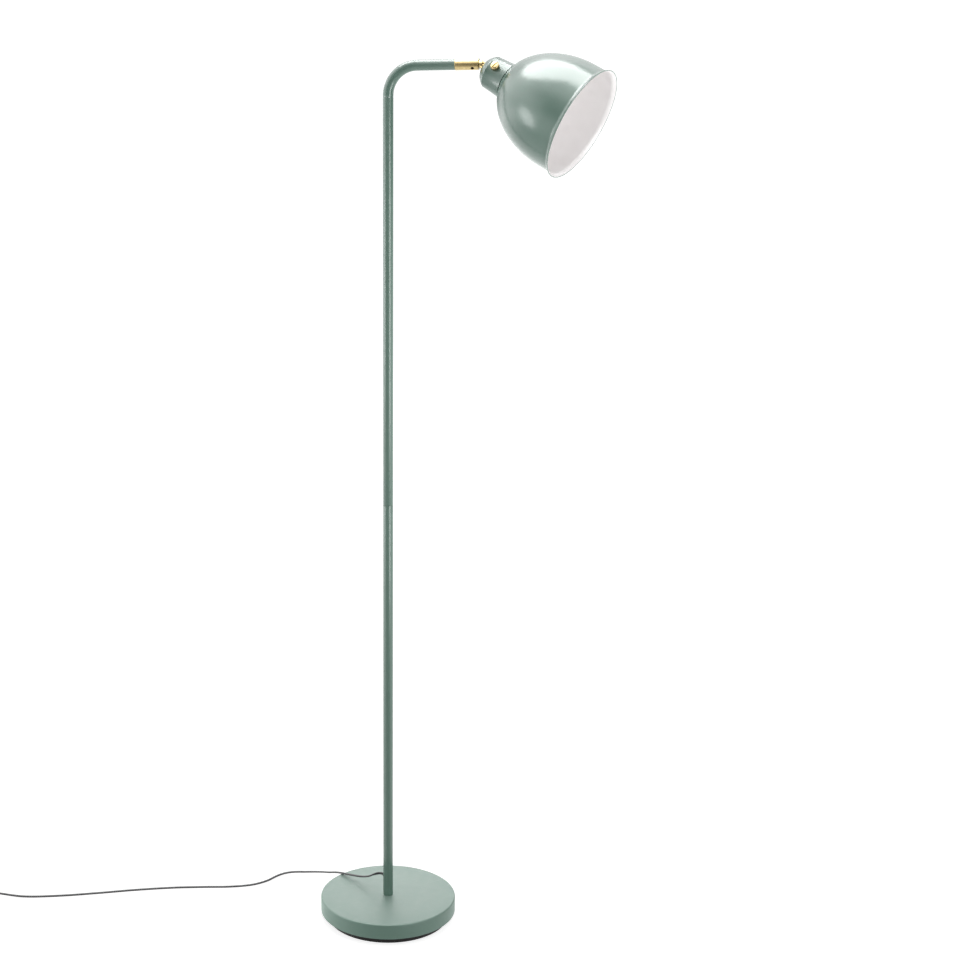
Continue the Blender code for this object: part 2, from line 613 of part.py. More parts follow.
# ---- what is on the cord ----
def make_switch(looks):
    frame = empty("switch_frame", None, at(*SWITCH_AT, 0, SWITCH_HEADING_DEG))
    long, wide, wall = SWITCH_LENGTH, SWITCH_WIDTH, 1.8
    split = SWITCH_SPLIT_Z
    loops = [stadium(long - 3, wide - 3, 12, 0), stadium(long, wide, 13.5, 2)]
    loops.append(stadium(long, wide, 13.5, split))
    loops += [stadium(long - 2 * wall, wide - 2 * wall, 11.7, z) for z in (split, 2)]
    base = lofted("switch_base", loops, looks["black"], frame)
    high = split + GAP
    top = SWITCH_TOP_Z
    hole = BUTTON_R + 0.4
    loops = [stadium(long, wide, 13.5, high), stadium(long, wide, 13.5, top - 5)]
    loops += [stadium(long - 3, wide - 3, 12, top - 1.6), stadium(long - 9, wide - 8, 11, top)]
    loops += [stadium(2 * hole, 2 * hole, hole, top), stadium(2 * hole, 2 * hole, hole, top - 1.8)]
    loops.append(stadium(long - 10, wide - 9, 10.5, top - 1.8))
    loops += [stadium(long - 2 * wall, wide - 2 * wall, 11.7, z) for z in (top - 5.5, high)]
    cover = lofted("switch_cover", loops, looks["black"], frame, closed=True)
    rod("contact_cell", 8.0, 2.3, 12.5, looks["white"], frame)
    for number, side in enumerate((-24, 24), 1):
        place = at(side, 0, 0)
        cut(base, rod(f"screw_way_{number}", 1.7, -1, 4, None, frame, place, TINY))
        rod(f"switch_screw_{number}", 1.4, 0.4, 15.5, looks["zinc"], frame, place, TINY)
    for number, (side, turn) in enumerate(((-1, -90), (1, 90)), 1):
        place = at(side * long / 2, 0, 8, turn, "Y")
        cut(base, rod(f"relief_way_{number}a", 4.9, -5, 1, None, frame, place))
        cut(cover, rod(f"relief_way_{number}b", 4.9, -5, 1, None, frame, place))
        profile = [(4.4, -2.6), (4.4, 0), (4.2, 3), (2.5, RELIEF_LENGTH - 1), (2.2, RELIEF_LENGTH)]
        turned(f"switch_relief_{number}", profile, looks["rubber"], frame, place, SMALL, hollow=False)
    make_button(looks, frame)


def make_button(looks, frame):
    axis = empty("button_axis", frame, at(0, 0, BUTTON_TOP_Z))
    low = SWITCH_TOP_Z - 1.8 - GAP - BUTTON_TOP_Z
    flange_r = BUTTON_R + 1.4  # wider than the hole in the cover, so it can't come out
    profile = [(flange_r, low - 1.4), (flange_r, low), (BUTTON_R, low), (BUTTON_R, -1.4)]
    profile += [(BUTTON_R - 1.2, -0.3), (BUTTON_R - 4, 0)]
    turned("switch_button", profile, looks["black"], axis, hollow=False)


def make_coil(looks):
    inner, outer = COIL_R
    low, high = COIL_Z
    c = 2.4
    section = [(inner + c, low), (outer - c, low), (outer, low + c), (outer, high - c), (outer - c, high)]
    section += [(inner + c, high), (inner, high - c), (inner, low + c)]
    turned("cord_coil", section, looks["cord"], None, at(*COIL_AT), 32)
    half, thick = 4.0, 0.8
    x0, x1 = math.sqrt(inner**2 - half**2) - 2 * GAP, outer + GAP
    z0, z1 = low - GAP, high + GAP
    outside, inside = (x0 - thick, x1 + thick, 0.05, z1 + thick), (x0, x1, z0, z1)
    rings = []
    corners = ((-half, outside), (half, outside), (half, inside), (-half, inside))
    for y, (left, right, bottom, above) in corners:
        rings.append([(left, y, bottom), (right, y, bottom), (right, y, above), (left, y, above)])
    lofted("cord_tie", rings, looks["rubber"], None, at(*COIL_AT), closed=True)


def make_plug(looks):
    """A flat two-pin plug, lying on its broad side, with its pins towards +Y."""
    x, y = PLUG_AT
    place = Matrix.Translation(Vector((x, y, PLUG_THICK / 2))) @ Matrix.Rotation(math.radians(-90), 4, "X")
    wide, thick = 2 * PLUG_HALF_WIDTH, PLUG_THICK
    end = PLUG_LENGTH
    sections = ((0, 0.42, 0.72), (3, 0.56, 0.86), (16, 0.86, 0.98), (24, 1, 1), (end - 1, 1, 1))
    sections += ((end, 0.96, 0.92),)
    loops = [stadium(wide * a, thick * b, thick * b * 0.42, z) for z, a, b in sections]
    body = lofted("plug_body", loops, looks["black"], None, place)
    for number, side in enumerate((-9.3, 9.3), 1):
        pin_place = place @ Matrix.Translation(Vector((side, 0, 0)))
        cut(body, rod(f"pin_hole_{number}", 2.4, end - 8, end + 2, None, None, pin_place))
        profile = [(2.0, end - 7), (2.0, end + 17), (1.7, end + 18.6), (0.9, end + 19)]
        turned(f"plug_pin_{number}", profile, looks["nickel"], None, pin_place, SMALL, hollow=False)
    relief = [(2.2, -PLUG_RELIEF_LENGTH), (2.5, -PLUG_RELIEF_LENGTH + 1), (4.4, -GAP)]
    turned("plug_relief", relief, looks["rubber"], None, place, SMALL, hollow=False)


def clear_scene():
    for obj in list(bpy.data.objects):
        bpy.data.objects.remove(obj, do_unlink=True)


def main():
    clear_scene()
    looks = {
        "enamel": sage_enamel(), "brass": brass(), "iron": cast_iron(), "zinc": zinc_steel(),
        "nickel": nickel(), "white": white_plastic(), "black": black_plastic(), "rubber": black_rubber(),
        "cord": cord_jacket(), "wire_1": material("brown_wire", (0.12, 0.05, 0.02), 0.45),
        "wire_2": material("blue_wire", (0.03, 0.12, 0.35), 0.45),
    }
    make_base(looks)
    make_pole(looks)
    make_arm(looks)
    make_sleeve(looks)
    make_cables(looks)
    make_head(looks, make_swivel(looks))
    make_switch(looks)
    make_coil(looks)
    make_plug(looks)


main()
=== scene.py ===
import json
import math

import bpy
from mathutils import Matrix, Vector


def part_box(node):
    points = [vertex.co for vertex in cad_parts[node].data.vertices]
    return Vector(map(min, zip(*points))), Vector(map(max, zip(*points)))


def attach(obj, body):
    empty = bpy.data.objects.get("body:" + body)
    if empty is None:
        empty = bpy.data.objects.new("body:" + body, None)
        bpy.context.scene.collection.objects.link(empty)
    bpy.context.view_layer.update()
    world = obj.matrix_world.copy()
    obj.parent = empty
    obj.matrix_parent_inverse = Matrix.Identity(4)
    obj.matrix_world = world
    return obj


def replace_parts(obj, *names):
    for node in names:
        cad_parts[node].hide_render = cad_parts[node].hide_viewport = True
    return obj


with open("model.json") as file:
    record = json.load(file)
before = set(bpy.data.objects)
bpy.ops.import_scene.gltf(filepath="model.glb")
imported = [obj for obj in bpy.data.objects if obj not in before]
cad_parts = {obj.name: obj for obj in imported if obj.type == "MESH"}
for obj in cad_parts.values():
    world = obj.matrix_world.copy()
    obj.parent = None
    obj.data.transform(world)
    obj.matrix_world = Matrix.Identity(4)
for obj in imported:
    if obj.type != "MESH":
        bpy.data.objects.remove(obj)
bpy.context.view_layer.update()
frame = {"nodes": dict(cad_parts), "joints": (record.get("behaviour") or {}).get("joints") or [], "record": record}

MM = 0.001  # sections and small sizes below are in millimetres; places in the row frame are in metres

# ---- the camera ----
CAMERA_AT = (0.6477, -2.5978, 1.3327)
CAMERA_TURN_DEG = 14.0
CAMERA_DOWN_DEG = 11.0
LENS_MM = 57.47
SHIFT_X = 0.0998

# ---- frames of the moving bodies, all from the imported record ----
JOINTS = {joint["name"]: joint for joint in frame["joints"]}
MOUNTS = {mount["name"]: mount for mount in frame["record"]["mounts"]}


def axes(origin, x, y):
    """A frame from its origin and its X and Y directions."""
    x, y = Vector(x).normalized(), Vector(y).normalized()
    return Matrix.Translation(Vector(origin)) @ Matrix((x, y, x.cross(y))).transposed().to_4x4()


def middle(node):
    low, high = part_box(node)
    return (low + high) / 2


def spin(degrees, axis):
    return Matrix.Rotation(math.radians(degrees), 4, axis)


def shift(x=0.0, y=0.0, z=0.0):
    """A move given in millimetres."""
    return Matrix.Translation(Vector((x, y, z)) * MM)


ALONG_X = spin(90, "Y")  # turns a shape made along its own Z so that it runs along +X
PIVOT = JOINTS["head_tilt"]["pos_m"]
TILT_AXIS = JOINTS["head_tilt"]["axis"]
ARM_Z = JOINTS["head_swivel"]["pos_m"][2]
HEAD = axes(PIVOT, MOUNTS["lamp_socket"]["axis"], TILT_AXIS)
SWIVEL = axes((0, 0, ARM_Z), JOINTS["head_swivel"]["axis"], TILT_AXIS)
SCREW = HEAD @ spin(90, "X")
SWITCH_ENDS = [middle(f"switch_relief_{n}") for n in (1, 2)]
SWITCH_ALONG = (SWITCH_ENDS[1] - SWITCH_ENDS[0]).normalized()
SWITCH = axes([*middle("switch_cover").xy, 0], SWITCH_ALONG, Vector((0, 0, 1)).cross(SWITCH_ALONG))
PLUG_REAR = Vector((middle("plug_body").x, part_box("plug_body")[0].y, middle("plug_body").z))
PLUG = Matrix.Translation(PLUG_REAR) @ spin(-90, "X")

# ---- sizes that the fine pieces share with the frame, in millimetres ----
TUBE_R, TUBE_BORE_R = 9.0, 7.8
BEND_R = 49.0
THREAD_HOLE_R = 5.2
CORD_HOLE_R = 3.2
SHADE_DEPTH = 170.0  # from the tilt pivot to the rim
SHADE_R, SHADE_ARC_START, SHADE_ARC_LENGTH = 90.0, 30.0, 125.5
SHADE_NECK = 150.0
SHADE_HOLE_R = 20.4
FLARE_DEPTH, FLARE_OUT = 8.5, 5.5
SHELL_THICK, SHADE_WALL = 0.62, 1.2
RIM_BEAD_R = 0.75

# ---- the cord: a flat two-core flex ----
CORD_WIDTH, CORD_THICK = 0.0049, 0.0030
CORD_STEP = 0.0025
# Points of its route, the same as the frame's: pole to switch, switch to coil, coil to plug.
ROUTE_TO_SWITCH = [
    (-0.0097, 0.0056, 0.0770), (-0.0200, 0.0116, 0.0746), (-0.0320, 0.0186, 0.0675),
    (-0.0450, 0.0260, 0.0590), (-0.0620, 0.0355, 0.0525), (-0.0840, 0.0465, 0.0480),
    (-0.1050, 0.0595, 0.0434), (-0.1205, 0.0705, 0.0382), (-0.1380, 0.0820, 0.0310),
    (-0.1560, 0.0980, 0.0225), (-0.1780, 0.1120, 0.0140), (-0.1990, 0.1185, 0.0086),
    (-0.2130, 0.1195, 0.0066), (-0.2260, 0.1180, 0.0051), (-0.2400, 0.1105, 0.0038),
    (-0.2500, 0.0980, 0.0030), (-0.2620, 0.0760, 0.0022), (-0.2840, 0.0540, 0.0017),
    (-0.3220, 0.0360, 0.0016), (-0.3720, 0.0220, 0.0016), (-0.4300, 0.0040, 0.0016),
    (-0.4950, -0.0220, 0.0016), (-0.5600, -0.0520, 0.0016), (-0.6250, -0.0800, 0.0017),
    (-0.6900, -0.1010, 0.0025), (-0.7436, -0.1111, 0.0080),
]
ROUTE_TO_COIL = [
    (-0.8564, -0.1329, 0.0080), (-0.8680, -0.1344, 0.0055), (-0.8810, -0.1316, 0.0034),
    (-0.8920, -0.1245, 0.0026), (-0.8995, -0.1135, 0.00245), (-0.9028, -0.1005, 0.00245),
    (-0.9029, -0.0900, 0.00245),
]
ROUTE_TO_PLUG = [
    (-0.8947, -0.0656, 0.0090), (-0.8890, -0.0585, 0.0086), (-0.8842, -0.0490, 0.0077),
    (-0.8815, -0.0395, 0.0071), (-0.8810, -0.0303, 0.0070),
]
INTO_HOUSING = 0.022  # how far the cord runs on inside the switch's reliefs and the plug's
# The coil, as (degrees wound on from its west side, radius, height), wound clockwise: in, up and out again.
COIL_TURNS = [
    (0, 34.9, 2.45), (36, 31.2, 3.8), (330, 31.2, 3.8), (376, 27.6, 3.8), (690, 27.6, 3.8), (736, 24.0, 3.8),
    (1046, 24.0, 3.8), (1104, 24.0, 9.0), (1410, 24.0, 9.0), (1456, 27.6, 9.0), (1762, 27.6, 9.0),
    (1840, 34.85, 9.0),
]


# ---- meshes ----
def volume(points, faces):
    """Six times the signed volume inside the faces, which is positive when they face out."""
    total = 0.0
    for face in faces:
        first = points[face[0]]
        for b, c in zip(face[1:], face[2:]):
            total += first.dot(points[b].cross(points[c]))
    return total


def solid(name, points, faces, place=Matrix()):
    """A mesh object from points in metres, in the frame place, with its faces out."""
    points = [place @ p for p in points]
    mesh = bpy.data.meshes.new(name)
    mesh.from_pydata(points, [], faces)
    if volume(points, faces) < 0:
        mesh.flip_normals()
    mesh.shade_smooth()
    mesh.set_sharp_from_angle(angle=math.radians(32))
    obj = bpy.data.objects.new(name, mesh)
    bpy.context.scene.collection.objects.link(obj)
    return obj


def rounded(corners, closed=True, steps=5):
    """A section with its corners rounded: each corner is (r, z) or (r, z, fillet radius)."""
    outline, count = [], len(corners)
    for i, (r, z, *fillet) in enumerate(corners):
        here = Vector((r, z))
        ends = not closed and i in (0, count - 1)
        if not fillet or ends:
            outline.append((r, z))
            continue
        before = (Vector(corners[i - 1][:2]) - here).normalized()
        after = (Vector(corners[(i + 1) % count][:2]) - here).normalized()
        half = before.angle(after) / 2
        reach = fillet[0] / math.tan(half)
        centre = here + (before + after).normalized() * fillet[0] / math.sin(half)
        start, end = here + before * reach - centre, here + after * reach - centre
        turn = start.angle_signed(end)
        for k in range(steps + 1):
            x, y = centre + Matrix.Rotation(-turn * k / steps, 2) @ start
            outline.append((x, y))
    return outline


def lathe(name, section, place=Matrix(), sides=128, closed=True):
    """Turns a section of (radius, height) points about Z. Not closed: it starts and ends on the axis."""
    points, rings = [], []
    for r, z in section:
        count = sides if r > 0 else 1
        rings.append([len(points) + i for i in range(count)])
        for i in range(count):
            turn = 2 * math.pi * i / sides
            points.append(Vector((r * math.cos(turn), r * math.sin(turn), z)) * MM)
    pairs = list(zip(rings, rings[1:])) + ([(rings[-1], rings[0])] if closed else [])
    return solid(name, points, [f for low, high in pairs for f in strip(low, high, sides)], place)


def strip(low, high, sides):
    """The faces between two rings, either of which may be a single point."""
    faces = []
    for i in range(sides):
        j = (i + 1) % sides
        ring = [low[i % len(low)], low[j % len(low)], high[j % len(high)], high[i % len(high)]]
        faces.append(tuple(dict.fromkeys(ring)))
    return faces


def loft(name, loops, place=Matrix(), closed=False):
    """A skin over loops of equal length, in metres, capped at both ends unless it closes into a ring."""
    count = len(loops[0])
    rings = [[k * count + i for i in range(count)] for k in range(len(loops))]
    pairs = list(zip(rings, rings[1:])) + ([(rings[-1], rings[0])] if closed else [])
    faces = [f for low, high in pairs for f in strip(low, high, count)]
    if not closed:
        faces += [tuple(rings[0][::-1]), tuple(rings[-1])]
    return solid(name, [Vector(p) for loop in loops for p in loop], faces, place)


def swept(path, side_directions, section):
    """The section (across, over), in metres, carried along a path, its first direction near the given one."""
    loops = []
    for i, here in enumerate(path):
        along = (path[min(i + 1, len(path) - 1)] - path[max(i - 1, 0)]).normalized()
        side = side_directions[i] - along * along.dot(side_directions[i])
        side.normalize()
        over = along.cross(side)
        loops.append([here + side * a + over * b for a, b in section])
    return loops


def circle(radius, sides):
    turns = [2 * math.pi * i / sides for i in range(sides)]
    return [(radius * MM * math.cos(t), radius * MM * math.sin(t)) for t in turns]


def stadium(length, width, corner, z, count=96):
    """A rounded rectangle at height z in millimetres, as points in metres, always with the same count."""
    points, quarter = [], count // 4
    for k, (sx, sy) in enumerate(((1, 1), (-1, 1), (-1, -1), (1, -1))):
        for i in range(quarter):
            turn = math.radians(90 * (k + i / (quarter - 1)))
            x = sx * (length / 2 - corner) + corner * math.cos(turn)
            y = sy * (width / 2 - corner) + corner * math.sin(turn)
            points.append(Vector((x, y, z)) * MM)
    return points


def extruded(name, outline, low, high, place=Matrix(), edge=0.0):
    """A flat outline in millimetres, extruded along Z, with both its edges chamfered."""
    middle_x = sum(x for x, _ in outline) / len(outline)
    middle_y = sum(y for _, y in outline) / len(outline)
    loops = []
    levels = [(low, edge), (low + edge, 0), (high - edge, 0), (high, edge)] if edge else [(low, 0), (high, 0)]
    for z, inward in levels:
        loop = []
        for x, y in outline:
            out = Vector((x - middle_x, y - middle_y))
            x, y = Vector((x, y)) - out.normalized() * inward
            loop.append(Vector((x, y, z)) * MM)
        loops.append(loop)
    return loft(name, loops, place)


def carve(obj, tool, operation="DIFFERENCE"):
    """Applies one Boolean to obj and removes the tool."""
    step = obj.modifiers.new("carve", "BOOLEAN")
    step.operation, step.solver, step.object = operation, "EXACT", tool
    graph = bpy.context.evaluated_depsgraph_get()
    made = bpy.data.meshes.new_from_object(obj.evaluated_get(graph))
    obj.modifiers.clear()
    obj.data = made
    made.shade_smooth()
    made.set_sharp_from_angle(angle=math.radians(32))
    bpy.data.objects.remove(tool)
    return obj


def smooth_route(points, step):
    """Evenly spaced points on a smooth curve through the given ones."""
    known = [Vector(p) for p in points]
    ends = [known[0] * 2 - known[1], *known, known[-1] * 2 - known[-2]]
    fine = []
    for a, b, c, d in zip(ends, ends[1:], ends[2:], ends[3:]):
        times = [0.0]
        for p, q in ((a, b), (b, c), (c, d)):
            times.append(times[-1] + math.sqrt((q - p).length))
        for i in range(24):
            fine.append(spline_point((a, b, c, d), times, times[1] + (times[2] - times[1]) * i / 24))
    fine.append(known[-1])
    return evenly(fine, step)


def spline_point(points, times, t):
    """A centripetal Catmull-Rom curve's point at t, between the second and the third point."""
    level = points
    for spans in (((0, 1), (1, 2), (2, 3)), ((0, 2), (1, 3)), ((1, 2),)):
        shares = [(t - times[low]) / (times[high] - times[low]) for low, high in spans]
        level = [p.lerp(q, share) for p, q, share in zip(level, level[1:], shares)]
    return level[0]


def evenly(line, step):
    """The same line with its points about a step apart."""
    spans = [(q - p).length for p, q in zip(line, line[1:])]
    pieces = max(2, round(sum(spans) / step))
    even, walked, k = [line[0]], 0.0, 0
    for i in range(1, pieces):
        want = sum(spans) * i / pieces
        while walked + spans[k] < want:
            walked += spans[k]
            k += 1
        even.append(line[k].lerp(line[k + 1], (want - walked) / spans[k]))
    return [*even, line[-1]]


# ---- materials ----
class Finish:
    """A Principled material and the nodes that vary it. Textures use object coordinates, in metres."""

    def __init__(self, name, roughness, metallic=0.0, **sockets):
        self.material = bpy.data.materials.new(name)
        self.material.use_nodes = True
        self.tree = self.material.node_tree
        self.shader = self.tree.nodes["Principled BSDF"]
        self.shader.inputs["Roughness"].default_value = roughness
        self.shader.inputs["Metallic"].default_value = metallic
        for socket, value in sockets.items():
            self.shader.inputs[socket.replace("_", " ")].default_value = value
        self.place = self.node("ShaderNodeTexCoord").outputs["Object"]
        self.relief = None

    def node(self, kind, settings=None, **inputs):
        made = self.tree.nodes.new(kind)
        for key, value in (settings or {}).items():
            setattr(made, key, value)
        for key, value in inputs.items():
            self.put(made.inputs[key.replace("_", " ")], value)
        return made

    def put(self, socket, value):
        """Links the socket if the value is another socket, and else sets it."""
        if isinstance(value, bpy.types.NodeSocket):
            self.tree.links.new(value, socket)
        else:
            socket.default_value = value

    def noise(self, size_mm, detail=2.0, stretch=(1, 1, 1)):
        """Noise whose blotches are about size_mm across, stretched by a factor along X, Y and Z."""
        stretched = self.node("ShaderNodeMapping", Vector=self.place, Scale=[1 / s for s in stretch])
        at = stretched.outputs["Vector"]
        made = self.node("ShaderNodeTexNoise", Vector=at, Scale=1 / (size_mm * MM), Detail=detail)
        return made.outputs["Fac"]

    def rings(self, axis, size_mm):
        """Noise that varies only along an axis, like the marks of a lathe tool."""
        along = self.node("ShaderNodeVectorMath", {"operation": "DOT_PRODUCT"})
        self.put(along.inputs[0], self.place)
        self.put(along.inputs[1], axis)
        made = self.node("ShaderNodeTexNoise", {"noise_dimensions": "1D"}, W=along.outputs["Value"])
        made.inputs["Scale"].default_value = 1 / (size_mm * MM)
        made.inputs["Detail"].default_value = 3.0
        return made.outputs["Fac"]

    def remap(self, value, low, high, start=0.3, end=0.7):
        made = self.node("ShaderNodeMapRange", Value=value)
        for socket, number in (("From Min", start), ("From Max", end), ("To Min", low), ("To Max", high)):
            made.inputs[socket].default_value = number
        return made.outputs["Result"]

    def between(self, factor, first, second):
        made = self.node("ShaderNodeMix", {"data_type": "RGBA"})
        self.put(made.inputs[0], factor)
        for socket, value in ((made.inputs[6], first), (made.inputs[7], second)):
            self.put(socket, value if isinstance(value, bpy.types.NodeSocket) else (*value, 1.0))
        return made.outputs[2]

    def edges(self, low=0.51, high=0.56):
        """From 0 on the flats to 1 on outer edges."""
        return self.remap(self.node("ShaderNodeNewGeometry").outputs["Pointiness"], 0, 1, low, high)

    def colour(self, value):
        self.put(self.shader.inputs["Base Color"], value)

    def roughness(self, value):
        self.put(self.shader.inputs["Roughness"], value)

    def bump(self, height, depth_mm):
        """Adds relief of about depth_mm from a 0 to 1 height."""
        made = self.node("ShaderNodeBump", Height=height, Distance=depth_mm * MM)
        if self.relief is not None:
            self.put(made.inputs["Normal"], self.relief)
        self.relief = made.outputs["Normal"]
        self.put(self.shader.inputs["Normal"], self.relief)


def tinted(colour, factor):
    return tuple(min(c * factor, 1.0) for c in colour)


def sage_enamel(name, roughness):
    """Grey-green enamel: a faint orange peel, slight clouding, and a painted highlight that makes outer edges
    paler.
    """
    sage = (0.128, 0.222, 0.178)
    made = Finish(name, roughness)
    clouds = made.between(made.remap(made.noise(55), 0, 1), tinted(sage, 0.97), tinted(sage, 1.03))
    specks = made.between(made.remap(made.noise(0.7), 0, 0.35), clouds, tinted(sage, 1.08))
    # painted highlight: outer edges, the shade's rim bead among them, are mixed towards a pale grey-green as if
    # catching light
    painted_edge_highlight = made.remap(made.edges(), 0, 0.45, 0, 1)
    made.colour(made.between(painted_edge_highlight, specks, (0.27, 0.36, 0.32)))
    made.roughness(made.remap(made.noise(14, 4), roughness - 0.03, roughness + 0.05))
    made.bump(made.noise(1.5, 1), 0.006)
    made.bump(made.noise(0.4, 1), 0.0012)
    return made.material


def white_enamel():
    """The reflector paint inside the shade: satin, faintly warm, with a fine orange peel."""
    made = Finish("white_enamel", 0.38, Coat_Weight=0.15, Coat_Roughness=0.2)
    clouds = made.remap(made.noise(45), 0, 1)
    made.colour(made.between(clouds, (0.895, 0.87, 0.868), (0.915, 0.897, 0.895)))
    made.roughness(made.remap(made.noise(9, 4), 0.33, 0.45))
    made.bump(made.noise(1.3, 1), 0.012)
    return made.material


def brass(name, axis):
    """Turned and lacquered brass: tool marks round the axis, faint tarnish, brighter edges."""
    made = Finish(name, 0.24, metallic=1.0, Coat_Weight=0.2, Coat_Roughness=0.12)
    tarnish = made.remap(made.noise(6, 4), 0, 1)
    body = made.between(tarnish, (0.34, 0.26, 0.118), (0.39, 0.305, 0.152))
    made.colour(made.between(made.edges(0.52, 0.6), body, (0.50, 0.41, 0.22)))
    made.roughness(made.remap(made.noise(3, 4), 0.19, 0.30))
    made.bump(made.rings(axis, 0.16), 0.0022)
    return made.material


def cord_jacket():
    """Extruded PVC: satin black, with faint dust and a fine drag texture."""
    made = Finish("cord_jacket", 0.45, Specular_IOR_Level=0.25)
    dust = made.remap(made.noise(5, 5), 0, 0.5, 0.45, 0.8)
    made.colour(made.between(dust, (0.010, 0.010, 0.011), (0.030, 0.030, 0.029)))
    made.roughness(made.remap(made.noise(2.2, 3), 0.36, 0.52))
    made.bump(made.noise(0.5, 2), 0.012)
    return made.material


def moulded(name, dark, light, roughness, grain_mm=0.28, depth_mm=0.012, gloss=0.5):
    """Moulded plastic or rubber with a fine eroded grain and a little scuffing on its edges."""
    made = Finish(name, roughness, Specular_IOR_Level=gloss)
    body = made.between(made.remap(made.noise(7, 4), 0, 1), dark, light)
    made.colour(made.between(made.remap(made.edges(), 0, 0.35, 0, 1), body, tinted(light, 1.7)))
    made.roughness(made.remap(made.noise(4, 4), roughness - 0.06, roughness + 0.08))
    made.bump(made.noise(grain_mm, 2), depth_mm)
    return made.material


def plated(name, dark, light, roughness, grain_mm=1.5, depth_mm=0.004):
    """Plated or bare metal with a mottled crystal pattern."""
    made = Finish(name, roughness, metallic=1.0)
    made.colour(made.between(made.remap(made.noise(grain_mm, 3), 0, 1), dark, light))
    made.roughness(made.remap(made.noise(grain_mm * 2, 4), roughness - 0.06, roughness + 0.1))
    made.bump(made.noise(grain_mm / 3, 2), depth_mm)
    return made.material


ARM_AXIS = Vector(JOINTS["head_swivel"]["axis"])
LOOKS = {
    "sage_enamel": sage_enamel("sage_enamel", 0.21),
    "white_enamel": white_enamel(),
    "brass": brass("brass", ARM_AXIS),
    "cast_iron": plated("cast_iron", (0.05, 0.05, 0.052), (0.10, 0.10, 0.10), 0.7, 1.2, 0.08),
    "zinc_steel": plated("zinc_steel", (0.46, 0.47, 0.49), (0.60, 0.61, 0.62), 0.34),
    "nickel": plated("nickel", (0.60, 0.57, 0.52), (0.70, 0.67, 0.62), 0.2, 3.0, 0.002),
    "white_plastic": moulded("white_plastic", (0.74, 0.73, 0.70), (0.80, 0.79, 0.76), 0.42, 0.4, 0.006),
    "black_plastic": moulded(
        "black_plastic", (0.010, 0.010, 0.011), (0.016, 0.016, 0.017), 0.45, gloss=0.3,
    ),
    "black_rubber": moulded(
        "black_rubber", (0.012, 0.012, 0.012), (0.020, 0.020, 0.019), 0.7, 0.5, 0.02, gloss=0.2,
    ),
    "cord_jacket": cord_jacket(),
    "brown_wire": moulded("brown_wire", (0.10, 0.045, 0.020), (0.13, 0.06, 0.03), 0.42, 0.6, 0.006),
    "blue_wire": moulded("blue_wire", (0.025, 0.10, 0.30), (0.035, 0.14, 0.38), 0.42, 0.6, 0.006),
}


def dress(obj, finish, body, *nodes, look=None):
    """Gives a new piece its finish and its body, and hides the CAD nodes that it stands for."""
    obj.data.materials.clear()
    obj.data.materials.append(look or LOOKS[finish])
    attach(obj, body)
    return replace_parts(obj, *nodes) if nodes else obj


# ---- base, pole and arm ----
def make_base():
    low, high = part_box("base_cover")
    radius, wall = high.x / MM, 1.5
    bottom, top = low.z / MM, high.z / MM
    roof = top - wall
    shell = [(THREAD_HOLE_R, roof), (radius - wall, roof, 1.5), (radius - wall, bottom, 0.6)]
    shell += [(radius, bottom, 0.6), (radius, top, 2.6), (THREAD_HOLE_R, top)]
    cover = lathe("base_cover_fine", rounded(shell, steps=8), sides=360)
    dress(cover, "sage_enamel", "root", "base_cover", look=sage_enamel("sage_enamel_base", 0.50))
    pad_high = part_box("base_pad")[1]
    pad_r, pad_top = pad_high.x / MM, pad_high.z / MM
    section = [(0, 0), (pad_r, 0, 0.7), (pad_r, pad_top, 0.7), (0, pad_top)]
    pad = lathe("base_pad_fine", rounded(section, closed=False), sides=240, closed=False)
    dress(pad, "black_rubber", "root", "base_pad")


def tube_section(low, high):
    return rounded([(TUBE_BORE_R, low), (TUBE_R, low, 0.15), (TUBE_R, high, 0.15), (TUBE_BORE_R, high)])


def make_pole():
    for node in ("pole_lower", "pole_upper"):
        low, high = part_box(node)
        tube = lathe(f"{node}_fine", tube_section(low.z / MM, high.z / MM), sides=96)
        if node == "pole_lower":
            hole = [(0, 3), (CORD_HOLE_R, 3), (CORD_HOLE_R, 12), (0, 12)]
            carve(tube, lathe("cord_hole", hole, cord_exit_frame(), 48, closed=False))
        dress(tube, "sage_enamel", "root", node)


def cord_exit_frame():
    """Its Z runs out of the pole along the cord's first stretch."""
    exit_point = Vector(ROUTE_TO_SWITCH[0])
    turn = math.degrees(math.atan2(exit_point.y, exit_point.x))
    return Matrix.Translation((0, 0, exit_point.z)) @ spin(turn, "Z") @ ALONG_X


def make_grommet():
    """A rubber bush with an oval mouth for the flat cord."""
    place = cord_exit_frame()
    section = [(0, 7.3), (2.9, 7.3), (2.9, 8.9), (4.3, 8.9, 0.3), (4.1, 10.8, 0.9), (0, 10.8)]
    bush = lathe("cord_grommet_fine", rounded(section, closed=False), place, 64, closed=False)
    mouth = [p + Vector((0, 0, 6.0)) * MM for p in stadium(3.3, 5.2, 1.64, 0, 48)]
    deep = [p + Vector((0, 0, 6.0)) * MM for p in mouth]
    carve(bush, loft("mouth", [mouth, deep], place))
    dress(bush, "black_rubber", "root", "cord_grommet")


